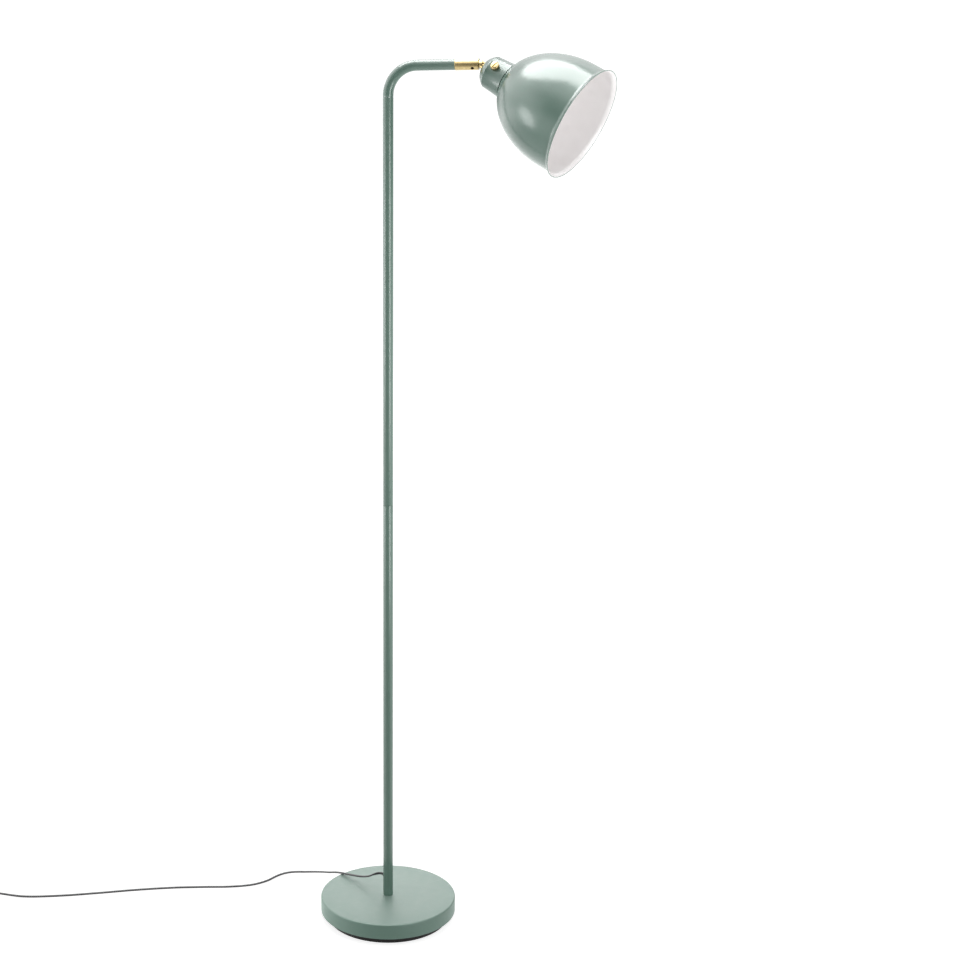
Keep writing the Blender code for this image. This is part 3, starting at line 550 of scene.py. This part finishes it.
def make_arm():
    low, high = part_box("arm_tube")
    chamfer = 0.15 * MM
    bend = [Vector((BEND_R * (1 - math.cos(t)), 0, BEND_R * math.sin(t))) * MM for t in turns_of(90, 40)]
    corner = Vector((0, 0, ARM_Z - BEND_R * MM))
    path = [Vector((0, 0, low.z)), Vector((0, 0, low.z + chamfer))]
    path += [corner + p for p in bend]
    path += [Vector((high.x - chamfer, 0, ARM_Z)), Vector((high.x, 0, ARM_Z))]
    sides = [Vector((0, 1, 0))] * len(path)
    outside = swept(path, sides, circle(TUBE_R, 96))
    ends = swept(path, sides, circle(TUBE_R - chamfer / MM, 96))
    outside[0], outside[-1] = ends[0], ends[-1]
    inside = swept(path, sides, circle(TUBE_BORE_R, 96))
    arm = loft("arm_tube_fine", outside + inside[::-1], closed=True)
    dress(arm, "sage_enamel", "root", "arm_tube")


def turns_of(degrees, steps):
    return [math.radians(degrees * i / steps) for i in range(steps + 1)]


def make_sleeve():
    low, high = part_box("arm_sleeve")
    start, end, radius = low.x / MM, high.x / MM, 9.6
    body, bore, spigot_r = 115.0, 5.1, 7.5
    section = [(bore, start), (spigot_r, start, 0.4), (spigot_r, body), (radius, body, 0.45)]
    section += [(radius, end, 0.6), (bore, end, 0.3)]
    place = Matrix.Translation((0, 0, ARM_Z)) @ ALONG_X
    sleeve = lathe("arm_sleeve_fine", rounded(section), place, 128)
    grub_at = middle("sleeve_grub_screw")
    out = Vector((0, grub_at.y, grub_at.z - ARM_Z)).normalized()
    grub_place = axes((grub_at.x, 0, ARM_Z), (1, 0, 0), out.cross((1, 0, 0)))
    hole_r, screw_r, key_r = 2.75, 2.5, 1.45
    hole = [(0, 3), (hole_r, 3), (hole_r, 9.15), (3.6, 10.4), (0, 10.4)]  # countersunk
    carve(sleeve, lathe("grub_hole", hole, grub_place, 48, closed=False))
    dress(sleeve, "brass", "root", "arm_sleeve")
    point = [(0, 4.6), (2.2, 4.6), (screw_r, 5), (screw_r, 6.9), (2.2, 7.2), (0, 7.2)]
    screw = lathe("grub_screw_fine", point, grub_place, 48, closed=False)
    key = [(key_r * math.cos(t), key_r * math.sin(t)) for t in turns_of(300, 5)]
    carve(screw, extruded("grub_key", key, 5.4, 8, grub_place))
    look = plated("blackened_steel", (0.05, 0.05, 0.05), (0.09, 0.09, 0.09), 0.5)
    dress(screw, "zinc_steel", "root", "sleeve_grub_screw", look=look)


# ---- swivel stud ----
def make_stud():
    """The stud that turns in the sleeve, grooved for the grub screw, and the hinge tongue at its end."""
    start, flange, end, bore = 124.0, 154.8, 161.0, 2.6
    shank_r, groove_r, flange_r = 4.9, 4.0, 6.0
    section = [(bore, start), (shank_r, start, 0.4), (shank_r, 141.3), (groove_r, 141.7)]
    section += [(groove_r, 147.3), (shank_r, 147.7), (shank_r, flange)]
    section += [(flange_r, flange, 0.2), (flange_r, end, 0.9), (bore, end)]
    stud = lathe("swivel_stud_fine", rounded(section), SWIVEL @ ALONG_X, 96)
    pivot = SWIVEL.inverted() @ Vector(PIVOT) / MM
    root_x, half_width, eye_r, thick = end - 3, 6.0, 8.0, 4.4
    lean = math.degrees(math.atan2(pivot.z, pivot.x - root_x))
    length = math.hypot(pivot.z, pivot.x - root_x)
    side = math.asin(half_width / eye_r)
    outline = [(0, -half_width + 1.5), (2.5, -half_width)]
    for i in range(41):
        turn = side - math.pi + (2 * math.pi - 2 * side) * i / 40
        outline.append((length + eye_r * math.cos(turn), eye_r * math.sin(turn)))
    outline += [(2.5, half_width), (0, half_width - 1.5)]
    place = SWIVEL @ shift(root_x) @ spin(-lean, "Y") @ spin(90, "X")
    tongue = extruded("tongue", outline, -thick / 2, thick / 2, place, 0.35)
    pin_hole_r = 2.7
    eye = [(0, -6), (pin_hole_r, -6), (pin_hole_r, 6), (0, 6)]
    carve(tongue, lathe("tongue_eye", eye, place @ shift(length), 64, closed=False))
    way = [(0, end - 6), (bore, end - 6), (bore, end + 3), (0, end + 3)]
    carve(tongue, lathe("wire_way", way, SWIVEL @ ALONG_X, 48, closed=False))
    carve(stud, tongue, "UNION")
    dress(stud, "brass", "swivel", "swivel_stud")


# ---- head ----
def shade_radius(behind_rim):
    """The bell's outer radius, with its flare near the rim."""
    share = (behind_rim - SHADE_ARC_START) / SHADE_ARC_LENGTH
    flare = max(0.0, 1 - behind_rim / FLARE_DEPTH)
    return SHADE_R * math.sqrt(1 - max(share, 0) ** 2) + FLARE_OUT * flare**2


def bell_line(offset):
    """The bell's wall as (r, distance from the pivot), moved inwards by offset, from the neck to the rim."""
    stations = [1.0 + (FLARE_DEPTH - 1.0) * i / 12 for i in range(12)]
    stations += [FLARE_DEPTH + (SHADE_ARC_START - FLARE_DEPTH) * i / 6 for i in range(6)]
    reach = 119.6
    stations += [SHADE_ARC_START + reach * math.sin(math.radians(90 * i / 48)) for i in range(49)]
    line = []
    for s in stations:
        slope = (shade_radius(s + 0.05) - shade_radius(s - 0.05)) / 0.1
        length = math.hypot(1, slope)
        line.append((shade_radius(s) - offset / length, SHADE_DEPTH - s - offset * slope / length))
    return line[::-1]


def make_shade():
    """The enamelled steel bell with its rolled rim, and the white reflector coat inside it."""
    place = HEAD @ ALONG_X
    neck = SHADE_DEPTH - SHADE_NECK
    outer, inner = bell_line(0), bell_line(SHELL_THICK)
    r, z = outer[-1][0] - RIM_BEAD_R / 2, outer[-1][1] + RIM_BEAD_R / 2
    bead = [(r + RIM_BEAD_R * math.cos(t), z + RIM_BEAD_R * math.sin(t)) for t in turns_of(180, 12)]
    section = [(SHADE_HOLE_R, neck), *outer, *bead, *inner[::-1], (SHADE_HOLE_R, neck + SHELL_THICK)]
    shell = lathe("shade_shell", section, place, 320)
    dress(shell, "sage_enamel", "head", "shade")
    near, far = bell_line(SHELL_THICK + 0.02), bell_line(SHADE_WALL)
    start, end = (SHADE_HOLE_R, neck + SHELL_THICK + 0.02), (SHADE_HOLE_R, neck + SHADE_WALL)
    lining = lathe("shade_lining", [start, *near, *far[::-1], end], place, 320)
    dress(lining, "white_enamel", "head")


def make_neck_cap():
    dome_r, rear_r, mouth_r, mouth_z, wall = 30.5, 27.3, 29.9, 20.5, 1.3
    outside = dome(dome_r, rear_r)
    inside = dome(dome_r - wall, rear_r - wall)
    shoulder = [(rear_r - 0.15, -math.sqrt(dome_r**2 - rear_r**2) + 0.5)]
    section = [*outside, *shoulder, (mouth_r, mouth_z), (mouth_r - wall, mouth_z), *inside[::-1]]
    cap = lathe("neck_cap_fine", section, HEAD @ ALONG_X, 192, closed=False)
    half, slot_end = 3.0, -17.8
    slot = [(-40, -half), (slot_end, -half), (slot_end, half), (-40, half)]
    carve(cap, extruded("cap_slot", slot, -40, 40, HEAD))
    carve(cap, lathe("cap_pin_hole", [(0, 2), (3, 2), (3, 40), (0, 40)], SCREW, 48, closed=False))
    dress(cap, "sage_enamel", "head", "neck_cap")


def dome(radius, rear_r):
    """A spherical end about the pivot, from the axis out to rear_r."""
    lean = math.asin(rear_r / radius)
    return [(radius * math.sin(lean * i / 20), -radius * math.cos(lean * i / 20)) for i in range(21)]


def make_thumb_screw():
    """The knurled, slotted clamp screw."""
    low, high, radius, lobes = 29.4, 37.4, 7.0, 40
    rings = [(2.2, -10.5, 0), (2.4, -10.2, 0), (2.4, low, 0), (6.2, low, 0), (radius - 0.15, low + 0.6, 0.4)]
    rings += [(radius, low + 0.9, 1), (radius, high - 2.6, 1), (radius - 0.1, high - 2.2, 0.4)]
    rings += [(radius - 0.9, high - 1.2, 0), (5.2, high - 0.4, 0), (3.6, high - 0.08, 0), (1.8, high, 0)]
    loops = []
    for r, z, knurl in rings:
        loop = []
        for i in range(lobes * 4):
            turn = 2 * math.pi * i / (lobes * 4)
            depth = 0.38 * knurl * (0, 0.5, 1, 0.5)[i % 4]
            loop.append(Vector(((r - depth) * math.cos(turn), (r - depth) * math.sin(turn), z)) * MM)
        loops.append(loop)
    screw = loft("thumb_screw_fine", loops, SCREW)
    half_slot = 0.85
    slot = [(-9, -half_slot), (9, -half_slot), (9, half_slot), (-9, half_slot)]
    carve(screw, extruded("screw_slot", slot, high - 3.0, high + 1, SCREW @ spin(78, "Z")))
    look = brass("brass_screw", -Vector(TILT_AXIS))
    dress(screw, "brass", "clamp_screw", "thumb_screw", look=look)


def make_lampholder():
    """The moulded E27 holder: skirt, fluted ring, threaded metal shell and centre contact."""
    place = HEAD @ ALONG_X
    rear, shoulder, mouth = 15.0, SHADE_DEPTH - SHADE_NECK, 68.0
    floor, skirt_in, radius = shoulder - 0.6, 15.2, 19.8
    collar_r, collar_top = 23.5, shoulder - 0.3
    section = [(THREAD_HOLE_R, rear), (collar_r, rear, 1.0), (collar_r, collar_top, 0.3)]
    section += [(radius, collar_top), (radius, mouth, 1.6), (skirt_in, mouth, 0.5)]
    section += [(skirt_in, floor), (THREAD_HOLE_R, floor)]
    skirt = lathe("holder_skirt_fine", rounded(section), place, 128)
    dress(skirt, "white_plastic", "head", "holder_skirt")
    ring_low = shoulder + SHADE_WALL + 0.3
    lobes, ring_in, ring_out = 36, 20.2, 26.5
    levels = [(ring_in, 0, 0), (25.9, 0, 0), (ring_out, 0.7, 0.5), (ring_out, 7.2, 0.5)]
    levels += [(25.8, 8, 0), (ring_in, 8, 0)]
    loops = []
    for r, z, grip in levels:
        loop = []
        for i in range(lobes * 6):
            turn = 2 * math.pi * i / (lobes * 6)
            x = r - grip * max(0.0, math.cos(lobes * turn))
            loop.append(Vector((x * math.cos(turn), x * math.sin(turn), ring_low + z)) * MM)
        loops.append(loop)
    ring = loft("shade_ring_fine", loops, place, closed=True)
    dress(ring, "white_plastic", "head", "shade_ring")
    make_screw_shell(place)
    contact = [(0, 30), (4.2, 30), (4.2, 34.6), (3.9, 35.6), (2.6, 36.2), (0, 36.4)]
    piece = lathe("centre_contact_fine", contact, place, 48, closed=False)
    dress(piece, "nickel", "head", "centre_contact")


def make_screw_shell(place):
    """Thin nickelled brass with the rolled E27 thread: 3.62 mm pitch."""
    pitch, depth, low, high = 3.62, 0.42, 34.6, 62.8
    levels, sides = 96, 120
    loops = []
    for radius, order in ((14.75, range(levels + 1)), (14.3, range(levels, -1, -1))):
        for k in order:
            z = low + (high - low) * k / levels
            fade = min(1.0, (z - low) / 2.5, (high - z) / 1.5)
            loop = []
            for i in range(sides):
                turn = 2 * math.pi * i / sides
                wave = (1 - math.cos(2 * math.pi * (z / pitch) - turn)) / 2
                r = radius - depth * wave * max(fade, 0.0)
                loop.append(Vector((r * math.cos(turn), r * math.sin(turn), z)) * MM)
            loops.append(loop)
    dress(loft("screw_shell_fine", loops, place, closed=True), "nickel", "head", "screw_shell")


# ---- the cord and what is on it ----
def coil_line():
    """The coil's turns as one smooth line, in metres."""
    centre = middle("cord_coil")
    line = []
    for (a, r0, z0), (b, r1, z1) in zip(COIL_TURNS, COIL_TURNS[1:]):
        steps = max(6, round((b - a) / 6))
        for i in range(steps):
            share = i / steps
            ease = share * share * (3 - 2 * share)
            turn = math.radians(180 - (a + (b - a) * share))
            r, z = (r0 + (r1 - r0) * ease) * MM, (z0 + (z1 - z0) * ease) * MM
            line.append(Vector((centre.x + r * math.cos(turn), centre.y + r * math.sin(turn), z)))
    return line


def flat_cord(name, path, on_edge):
    """A flat cord along a path; on_edge has 0 where it lies flat and 1 where it stands on edge."""
    sides = []
    for i in range(len(path)):
        along = path[min(i + 1, len(path) - 1)] - path[max(i - 1, 0)]
        flat = Vector((-along.y, along.x, 0)).normalized()
        turn = math.radians(90 * on_edge[i])
        sides.append(flat * math.cos(turn) + Vector((0, 0, 1)) * math.sin(turn))
    half_flat = (CORD_WIDTH - CORD_THICK) / 2
    section = []
    for centre, start in ((half_flat, -90), (-half_flat, 90)):
        for i in range(9):
            turn = math.radians(start + 180 * i / 8)
            section.append((centre + CORD_THICK / 2 * math.cos(turn), CORD_THICK / 2 * math.sin(turn)))
    return loft(name, swept(path, sides, section))


def ease(value):
    value = min(max(value, 0.0), 1.0)
    return value * value * (3 - 2 * value)


def make_cords(plug_pieces):
    start = Vector(ROUTE_TO_SWITCH[0])
    inward = Vector((start.x, start.y, 0)).normalized() * -0.003
    into_switch = Vector(ROUTE_TO_SWITCH[-1]) + SWITCH_ALONG * INTO_HOUSING
    first = smooth_route([start + inward, *ROUTE_TO_SWITCH, into_switch], CORD_STEP)
    on_edge = [ease((0.04 - (p - start).length) / 0.035) for p in first]
    cord = flat_cord("cord_to_switch", first, on_edge)
    dress(cord, "cord_jacket", "root", "cord_run_1")
    out_of_switch = Vector(ROUTE_TO_COIL[0]) - SWITCH_ALONG * INTO_HOUSING
    into_plug = Vector(ROUTE_TO_PLUG[-1]) + Vector((0, INTO_HOUSING, 0))
    second = smooth_route([out_of_switch, *ROUTE_TO_COIL[:-1]], CORD_STEP)
    second += coil_line() + smooth_route([*ROUTE_TO_PLUG, into_plug], CORD_STEP)
    second = evenly(second, CORD_STEP)
    far = Vector(ROUTE_TO_COIL[0])
    plug_end = Vector(ROUTE_TO_PLUG[-1])
    on_edge = []
    for p in second:
        flat_here = max(ease(1.2 - (p - far).length / 0.035), ease(1.1 - (p - plug_end).length / 0.034))
        on_edge.append(1 - flat_here)
    cord = flat_cord("cord_to_plug", second, on_edge)
    dress(cord, "cord_jacket", "root", "cord_run_2", "cord_coil", "cord_run_3")


def ribbed_relief(name, node, place, rear_r, tip_r, length):
    """A tapered rubber relief with ring grooves. Its Z runs from the housing out along the cord."""
    section = [(0, -2.4), (rear_r, -2.4), (rear_r, 0.8)]
    grooves = 5
    for k in range(grooves):
        at = 0.14 + 0.74 * k / grooves
        for along, deep in ((0, 0), (0.03, 0.55), (0.07, 0.55), (0.10, 0)):
            share = at + along
            section.append((rear_r + (tip_r - rear_r) * share - deep, length * share))
    section += [(tip_r, length - 0.5), (tip_r - 0.4, length), (0, length)]
    return dress(lathe(name, section, place, 64, closed=False), "black_rubber", "root", node)


def make_switch():
    """The inline foot switch: two shells with a seam, and a dished button."""
    long, wide, wall, split, top = 74.0, 32.0, 1.8, 9.0, 19.0
    levels = [(3.4, 0.0), (2.2, 0.35), (1.0, 1.0), (0.3, 1.8), (0, 3.0), (0, split - 0.3), (0.3, split)]
    loops = [stadium(long - 2 * c, wide - 2 * c, 13.5 - c, z) for c, z in levels]
    loops += [stadium(long - 2 * wall, wide - 2 * wall, 11.7, z) for z in (split, 2)]
    base = dress(loft("switch_base_fine", loops, SWITCH), "black_plastic", "root", "switch_base")
    high, hole = split + 0.3, 9.4
    levels = [(0.3, high), (0, high + 0.3), (0, top - 6.5)]
    levels += [(0.4, top - 4.4), (1.6, top - 2.5), (3.6, top - 1.1)]
    loops = [stadium(long - 2 * c, wide - 2 * c, max(13.5 - c, hole - 0.1), z) for c, z in levels]
    loops += [stadium(long - 13, wide - 10.5, 10.2, top - 0.3)]
    loops += [stadium(long - 30, 2 * hole + 2, hole + 1, top)]
    loops += [stadium(2 * hole, 2 * hole, hole, z) for z in (top - 0.1, top - 1.8)]
    loops += [stadium(long - 10, wide - 9, 10.5, top - 2.4)]
    loops += [stadium(long - 2 * wall, wide - 2 * wall, 11.7, z) for z in (top - 7, high)]
    cover = loft("switch_cover_fine", loops, SWITCH, closed=True)
    dress(cover, "black_plastic", "root", "switch_cover")
    button_top, low = 22.0, top - 1.8 - 0.3
    section = [(0, low - 1.4), (10.4, low - 1.4), (10.4, low), (9.0, low), (9.0, button_top, 1.2)]
    section += [(7.0, button_top, 0.8), (5.6, button_top - 0.7, 2.0), (0, button_top - 1.0)]
    button = lathe("switch_button_fine", rounded(section, closed=False), SWITCH, 96, closed=False)
    dress(button, "black_plastic", "button", "switch_button")
    reliefs = []
    for number, (side, turn) in enumerate(((-1, -90), (1, 90)), 1):
        node, place = f"switch_relief_{number}", SWITCH @ shift(side * long / 2, 0, 8) @ spin(turn, "Y")
        reliefs.append(ribbed_relief(f"{node}_fine", node, place, 4.4, 2.9, 20))
    inner = [frame["nodes"][n] for n in ("contact_cell", "switch_screw_1", "switch_screw_2")]
    return [base, cover, button, *reliefs, *inner]


def make_plug():
    """A flat two-pin plug with a waisted body, finger grooves and half-sleeved pins."""
    wide, thick, length = 35.6, 14.0, 35.0
    loops = []
    for z, a, b in body_stations(length):
        loops.append(stadium(wide * a, thick * b, thick * b * 0.42, z, 64))
    body = dress(loft("plug_body_fine", loops, PLUG), "black_plastic", "root", "plug_body")
    pieces = [body]
    for number, side in enumerate((-9.3, 9.3), 1):
        place = PLUG @ shift(side)
        tip = [(0, length - 5), (1.95, length - 5), (2.0, length + 9.8)]
        tip += [(2.0, length + 17.6, 1.2), (0, length + 19)]
        pin = lathe(f"plug_pin_{number}_fine", rounded(tip, closed=False), place, 48, closed=False)
        pieces.append(dress(pin, "nickel", "root", f"plug_pin_{number}"))
        sleeve = [(2.02, length - 4), (2.3, length - 4), (2.3, length + 9.5, 0.2), (2.02, length + 9.5)]
        cover = lathe(f"pin_sleeve_{number}", rounded(sleeve), place, 48)
        pieces.append(dress(cover, "black_plastic", "root"))
    relief = ribbed_relief("plug_relief_fine", "plug_relief", PLUG @ spin(180, "X"), 4.4, 2.9, 25)
    return [*pieces, relief]


def body_stations(length):
    """The plug's sections as (distance from the rear, share of the width, share of the thickness)."""
    stations, grooved = [(0.0, 0.34, 0.60)], 28
    for i in range(grooved):
        z = (length - 1) * i / grooved
        share = z / length
        width = 0.40 + 0.60 * ease(share / 0.62)
        grip = 0.035 * max(0.0, math.sin(share * 22 * math.pi)) if 0.12 < share < 0.55 else 0.0
        stations.append((z + 0.6, width - grip, 0.72 + 0.28 * ease(share / 0.45)))
    return [*stations, (length - 0.9, 1.0, 1.0), (length - 0.25, 0.985, 0.97), (length, 0.96, 0.92)]


def make_tie():
    """A soft rubber strap round the coil's turns, with softly rounded edges."""
    low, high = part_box("cord_tie")
    centre, half, thick = (low + high) / 2, (high - low) / 2 / MM, 0.8
    place = Matrix.Translation(centre) @ spin(90, "X")
    loops = []
    for inset, across in ((0.25, -1), (0, -0.9), (0, 0.9), (0.25, 1), (thick, 1), (thick, -1)):
        size = (2 * (half.x - inset), 2 * (half.z - inset), 2.4 - inset)
        loops.append(stadium(*size, half.y * across, 48))
    return dress(loft("cord_tie_fine", loops, place, closed=True), "black_rubber", "root", "cord_tie")


def dress_frame():
    """Better materials on the CAD nodes that still show."""
    for row in frame["record"]["subparts"]:
        node = frame["nodes"][row["node"]]
        if not node.hide_render:
            node.data.materials.clear()
            node.data.materials.append(LOOKS[row["material_slot"]])


# ---- the studio ----
def make_camera():
    camera = bpy.data.objects.new("camera", bpy.data.cameras.new("camera"))
    camera.data.lens = LENS_MM
    camera.data.sensor_width = 36.0
    camera.data.shift_x = SHIFT_X
    camera.location = CAMERA_AT
    camera.rotation_euler = [math.radians(a) for a in (90 - CAMERA_DOWN_DEG, 0, CAMERA_TURN_DEG)]
    bpy.context.scene.collection.objects.link(camera)
    bpy.context.scene.camera = camera


def make_floor():
    """A plain white floor that glows a little, as an overlit studio floor does."""
    radius, corners = 40.0, 64
    turns = turns_of(360, corners)[:-1]
    points = [Vector((radius * math.cos(t), radius * math.sin(t), 0)) for t in turns]
    mesh = bpy.data.meshes.new("floor")
    mesh.from_pydata(points, [], [tuple(range(corners))])
    floor = bpy.data.objects.new("floor", mesh)
    floor.location.z = -0.0002
    bpy.context.scene.collection.objects.link(floor)
    paint = bpy.data.materials.new("floor_paint")
    paint.use_nodes = True
    shader = paint.node_tree.nodes["Principled BSDF"]
    shader.inputs["Base Color"].default_value = (0.75, 0.75, 0.75, 1)
    shader.inputs["Roughness"].default_value = 0.9
    shader.inputs["Specular IOR Level"].default_value = 0.0
    shader.inputs["Emission Color"].default_value = (1, 1, 1, 1)
    path = paint.node_tree.nodes.new("ShaderNodeLightPath")
    glow = paint.node_tree.nodes.new("ShaderNodeMath")
    glow.operation = "MULTIPLY_ADD"
    paint.node_tree.links.new(path.outputs["Is Camera Ray"], glow.inputs[0])
    glow.inputs[1].default_value, glow.inputs[2].default_value = 0.55, 0.25
    paint.node_tree.links.new(glow.outputs[0], shader.inputs["Emission Strength"])
    floor.data.materials.append(paint)
    floor.visible_glossy = False


def make_world():
    """Even white light, with brighter reflections from above and behind, as from a lit backdrop."""
    world = bpy.data.worlds.new("studio")
    bpy.context.scene.world = world
    world.use_nodes = True
    world.cycles.sampling_method = "NONE"
    nodes, link = world.node_tree.nodes, world.node_tree.links.new
    background = nodes["Background"]
    background.inputs["Color"].default_value = (1, 1, 1, 1)
    path = nodes.new("ShaderNodeLightPath")
    direction = nodes.new("ShaderNodeTexCoord").outputs["Generated"]

    def rise(axis, start, end, strength):
        dot = nodes.new("ShaderNodeVectorMath")
        dot.operation = "DOT_PRODUCT"
        link(direction, dot.inputs[0])
        dot.inputs[1].default_value = axis
        step = nodes.new("ShaderNodeMapRange")
        step.interpolation_type = "SMOOTHSTEP"
        link(dot.outputs["Value"], step.inputs["Value"])
        for socket, value in (("From Min", start), ("From Max", end), ("To Min", 0), ("To Max", strength)):
            step.inputs[socket].default_value = value
        return step.outputs["Result"]

    def maths(operation, a, b):
        made = nodes.new("ShaderNodeMath")
        made.operation = operation
        for socket, value in zip(made.inputs, (a, b)):
            if isinstance(value, bpy.types.NodeSocket):
                link(value, socket)
            else:
                socket.default_value = value
        return made.outputs[0]

    front = (0.24, -0.97, 0)
    parts = [
        rise((0, 0, 1), 0.10, 0.50, 1.4),
        maths("MULTIPLY", rise((-0.35, 0.94, 0), 0.1, 0.7, 2.2), rise((0, 0, 1), 0.50, 0.85, 1.0)),
        maths("MULTIPLY", rise((-0.3, -0.95, 0), -0.2, 0.3, 1.0), rise((0, 0, 1), 0.45, 0.80, 3.0)),
        maths("MULTIPLY", rise((-1, -0.09, 0), 0.50, 0.95, 3.3), rise((0, 0, 1), -0.5, 0.1, 1.0)),
        maths("MULTIPLY", rise(front, 0.95, 0.25, 1.4), rise((0, 0, 1), 0.1, -0.15, 1.0)),
    ]
    glossy = parts[0]
    for part in parts[1:]:
        glossy = maths("ADD", glossy, part)
    glossy = maths("MULTIPLY", glossy, path.outputs["Is Glossy Ray"])
    shown = maths("MULTIPLY", path.outputs["Is Camera Ray"], 0.7)
    link(maths("ADD", maths("ADD", glossy, shown), 0.45), background.inputs["Strength"])


def make_light(name, place, target, size, radiance, shape="RECTANGLE", diffuse=False, glossy=True):
    """An area light of a given brightness, seen only in diffuse or glossy reflection."""
    data = bpy.data.lights.new(name, "AREA")
    data.shape = shape
    data.size, data.size_y = size
    area = size[0] * size[1] * (math.pi / 4 if shape == "ELLIPSE" else 1)
    data.energy = 4 * area * radiance
    light = bpy.data.objects.new(name, data)
    light.location = place
    light.rotation_euler = (Vector(target) - Vector(place)).to_track_quat("-Z", "Y").to_euler()
    light.visible_camera = False
    light.visible_diffuse = diffuse
    light.visible_glossy = glossy
    bpy.context.scene.collection.objects.link(light)
    return data


def make_lights():
    head = Vector(PIVOT) + Vector((0.10, -0.03, -0.06))
    above = head + Vector((-1.12, 0.32, 4.5))
    under = Vector((above.x, above.y, 0))
    make_light("overhead_box", above, under, (6.1, 4.3), 9.5, "ELLIPSE")
    make_light("overhead_fill", above, under, (6.1, 4.3), 0.9, "ELLIPSE", diffuse=True, glossy=False)
    left, right = head + Vector((-2.42, -1.05, -0.40)), Vector((2.16, -1.51, 1.0))
    make_light("left_box", left, Vector((head.x, head.y, left.z)), (0.9, 1.3), 4.5, "ELLIPSE")
    make_light("right_box", right, Vector((0, 0, right.z)), (1.5, 1.8), 5.0)
    base_top = Vector((0, 0, 0.04))
    low_back = make_light("low_back_box", Vector((-0.25, 1.03, 0.5)), base_top, (1.7, 0.85), 0.6)
    low_back.spread = math.radians(90)  # it lights the base's top and keeps off the head
    low_right = head + Vector(MOUNTS["lamp_socket"]["axis"]) * 0.7
    make_light("opening_fill", low_right, head, (1.1, 1.1), 1.0, diffuse=True, glossy=False)


def main():
    make_camera()
    make_base()
    make_pole()
    make_grommet()
    make_arm()
    make_sleeve()
    make_stud()
    make_shade()
    make_neck_cap()
    make_thumb_screw()
    make_lampholder()
    switch_pieces = make_switch()
    plug_pieces = make_plug()
    make_cords([*plug_pieces, make_tie()])
    dress_frame()
    make_floor()
    make_world()
    make_lights()
    bpy.context.scene.view_settings.view_transform = "Standard"


main()
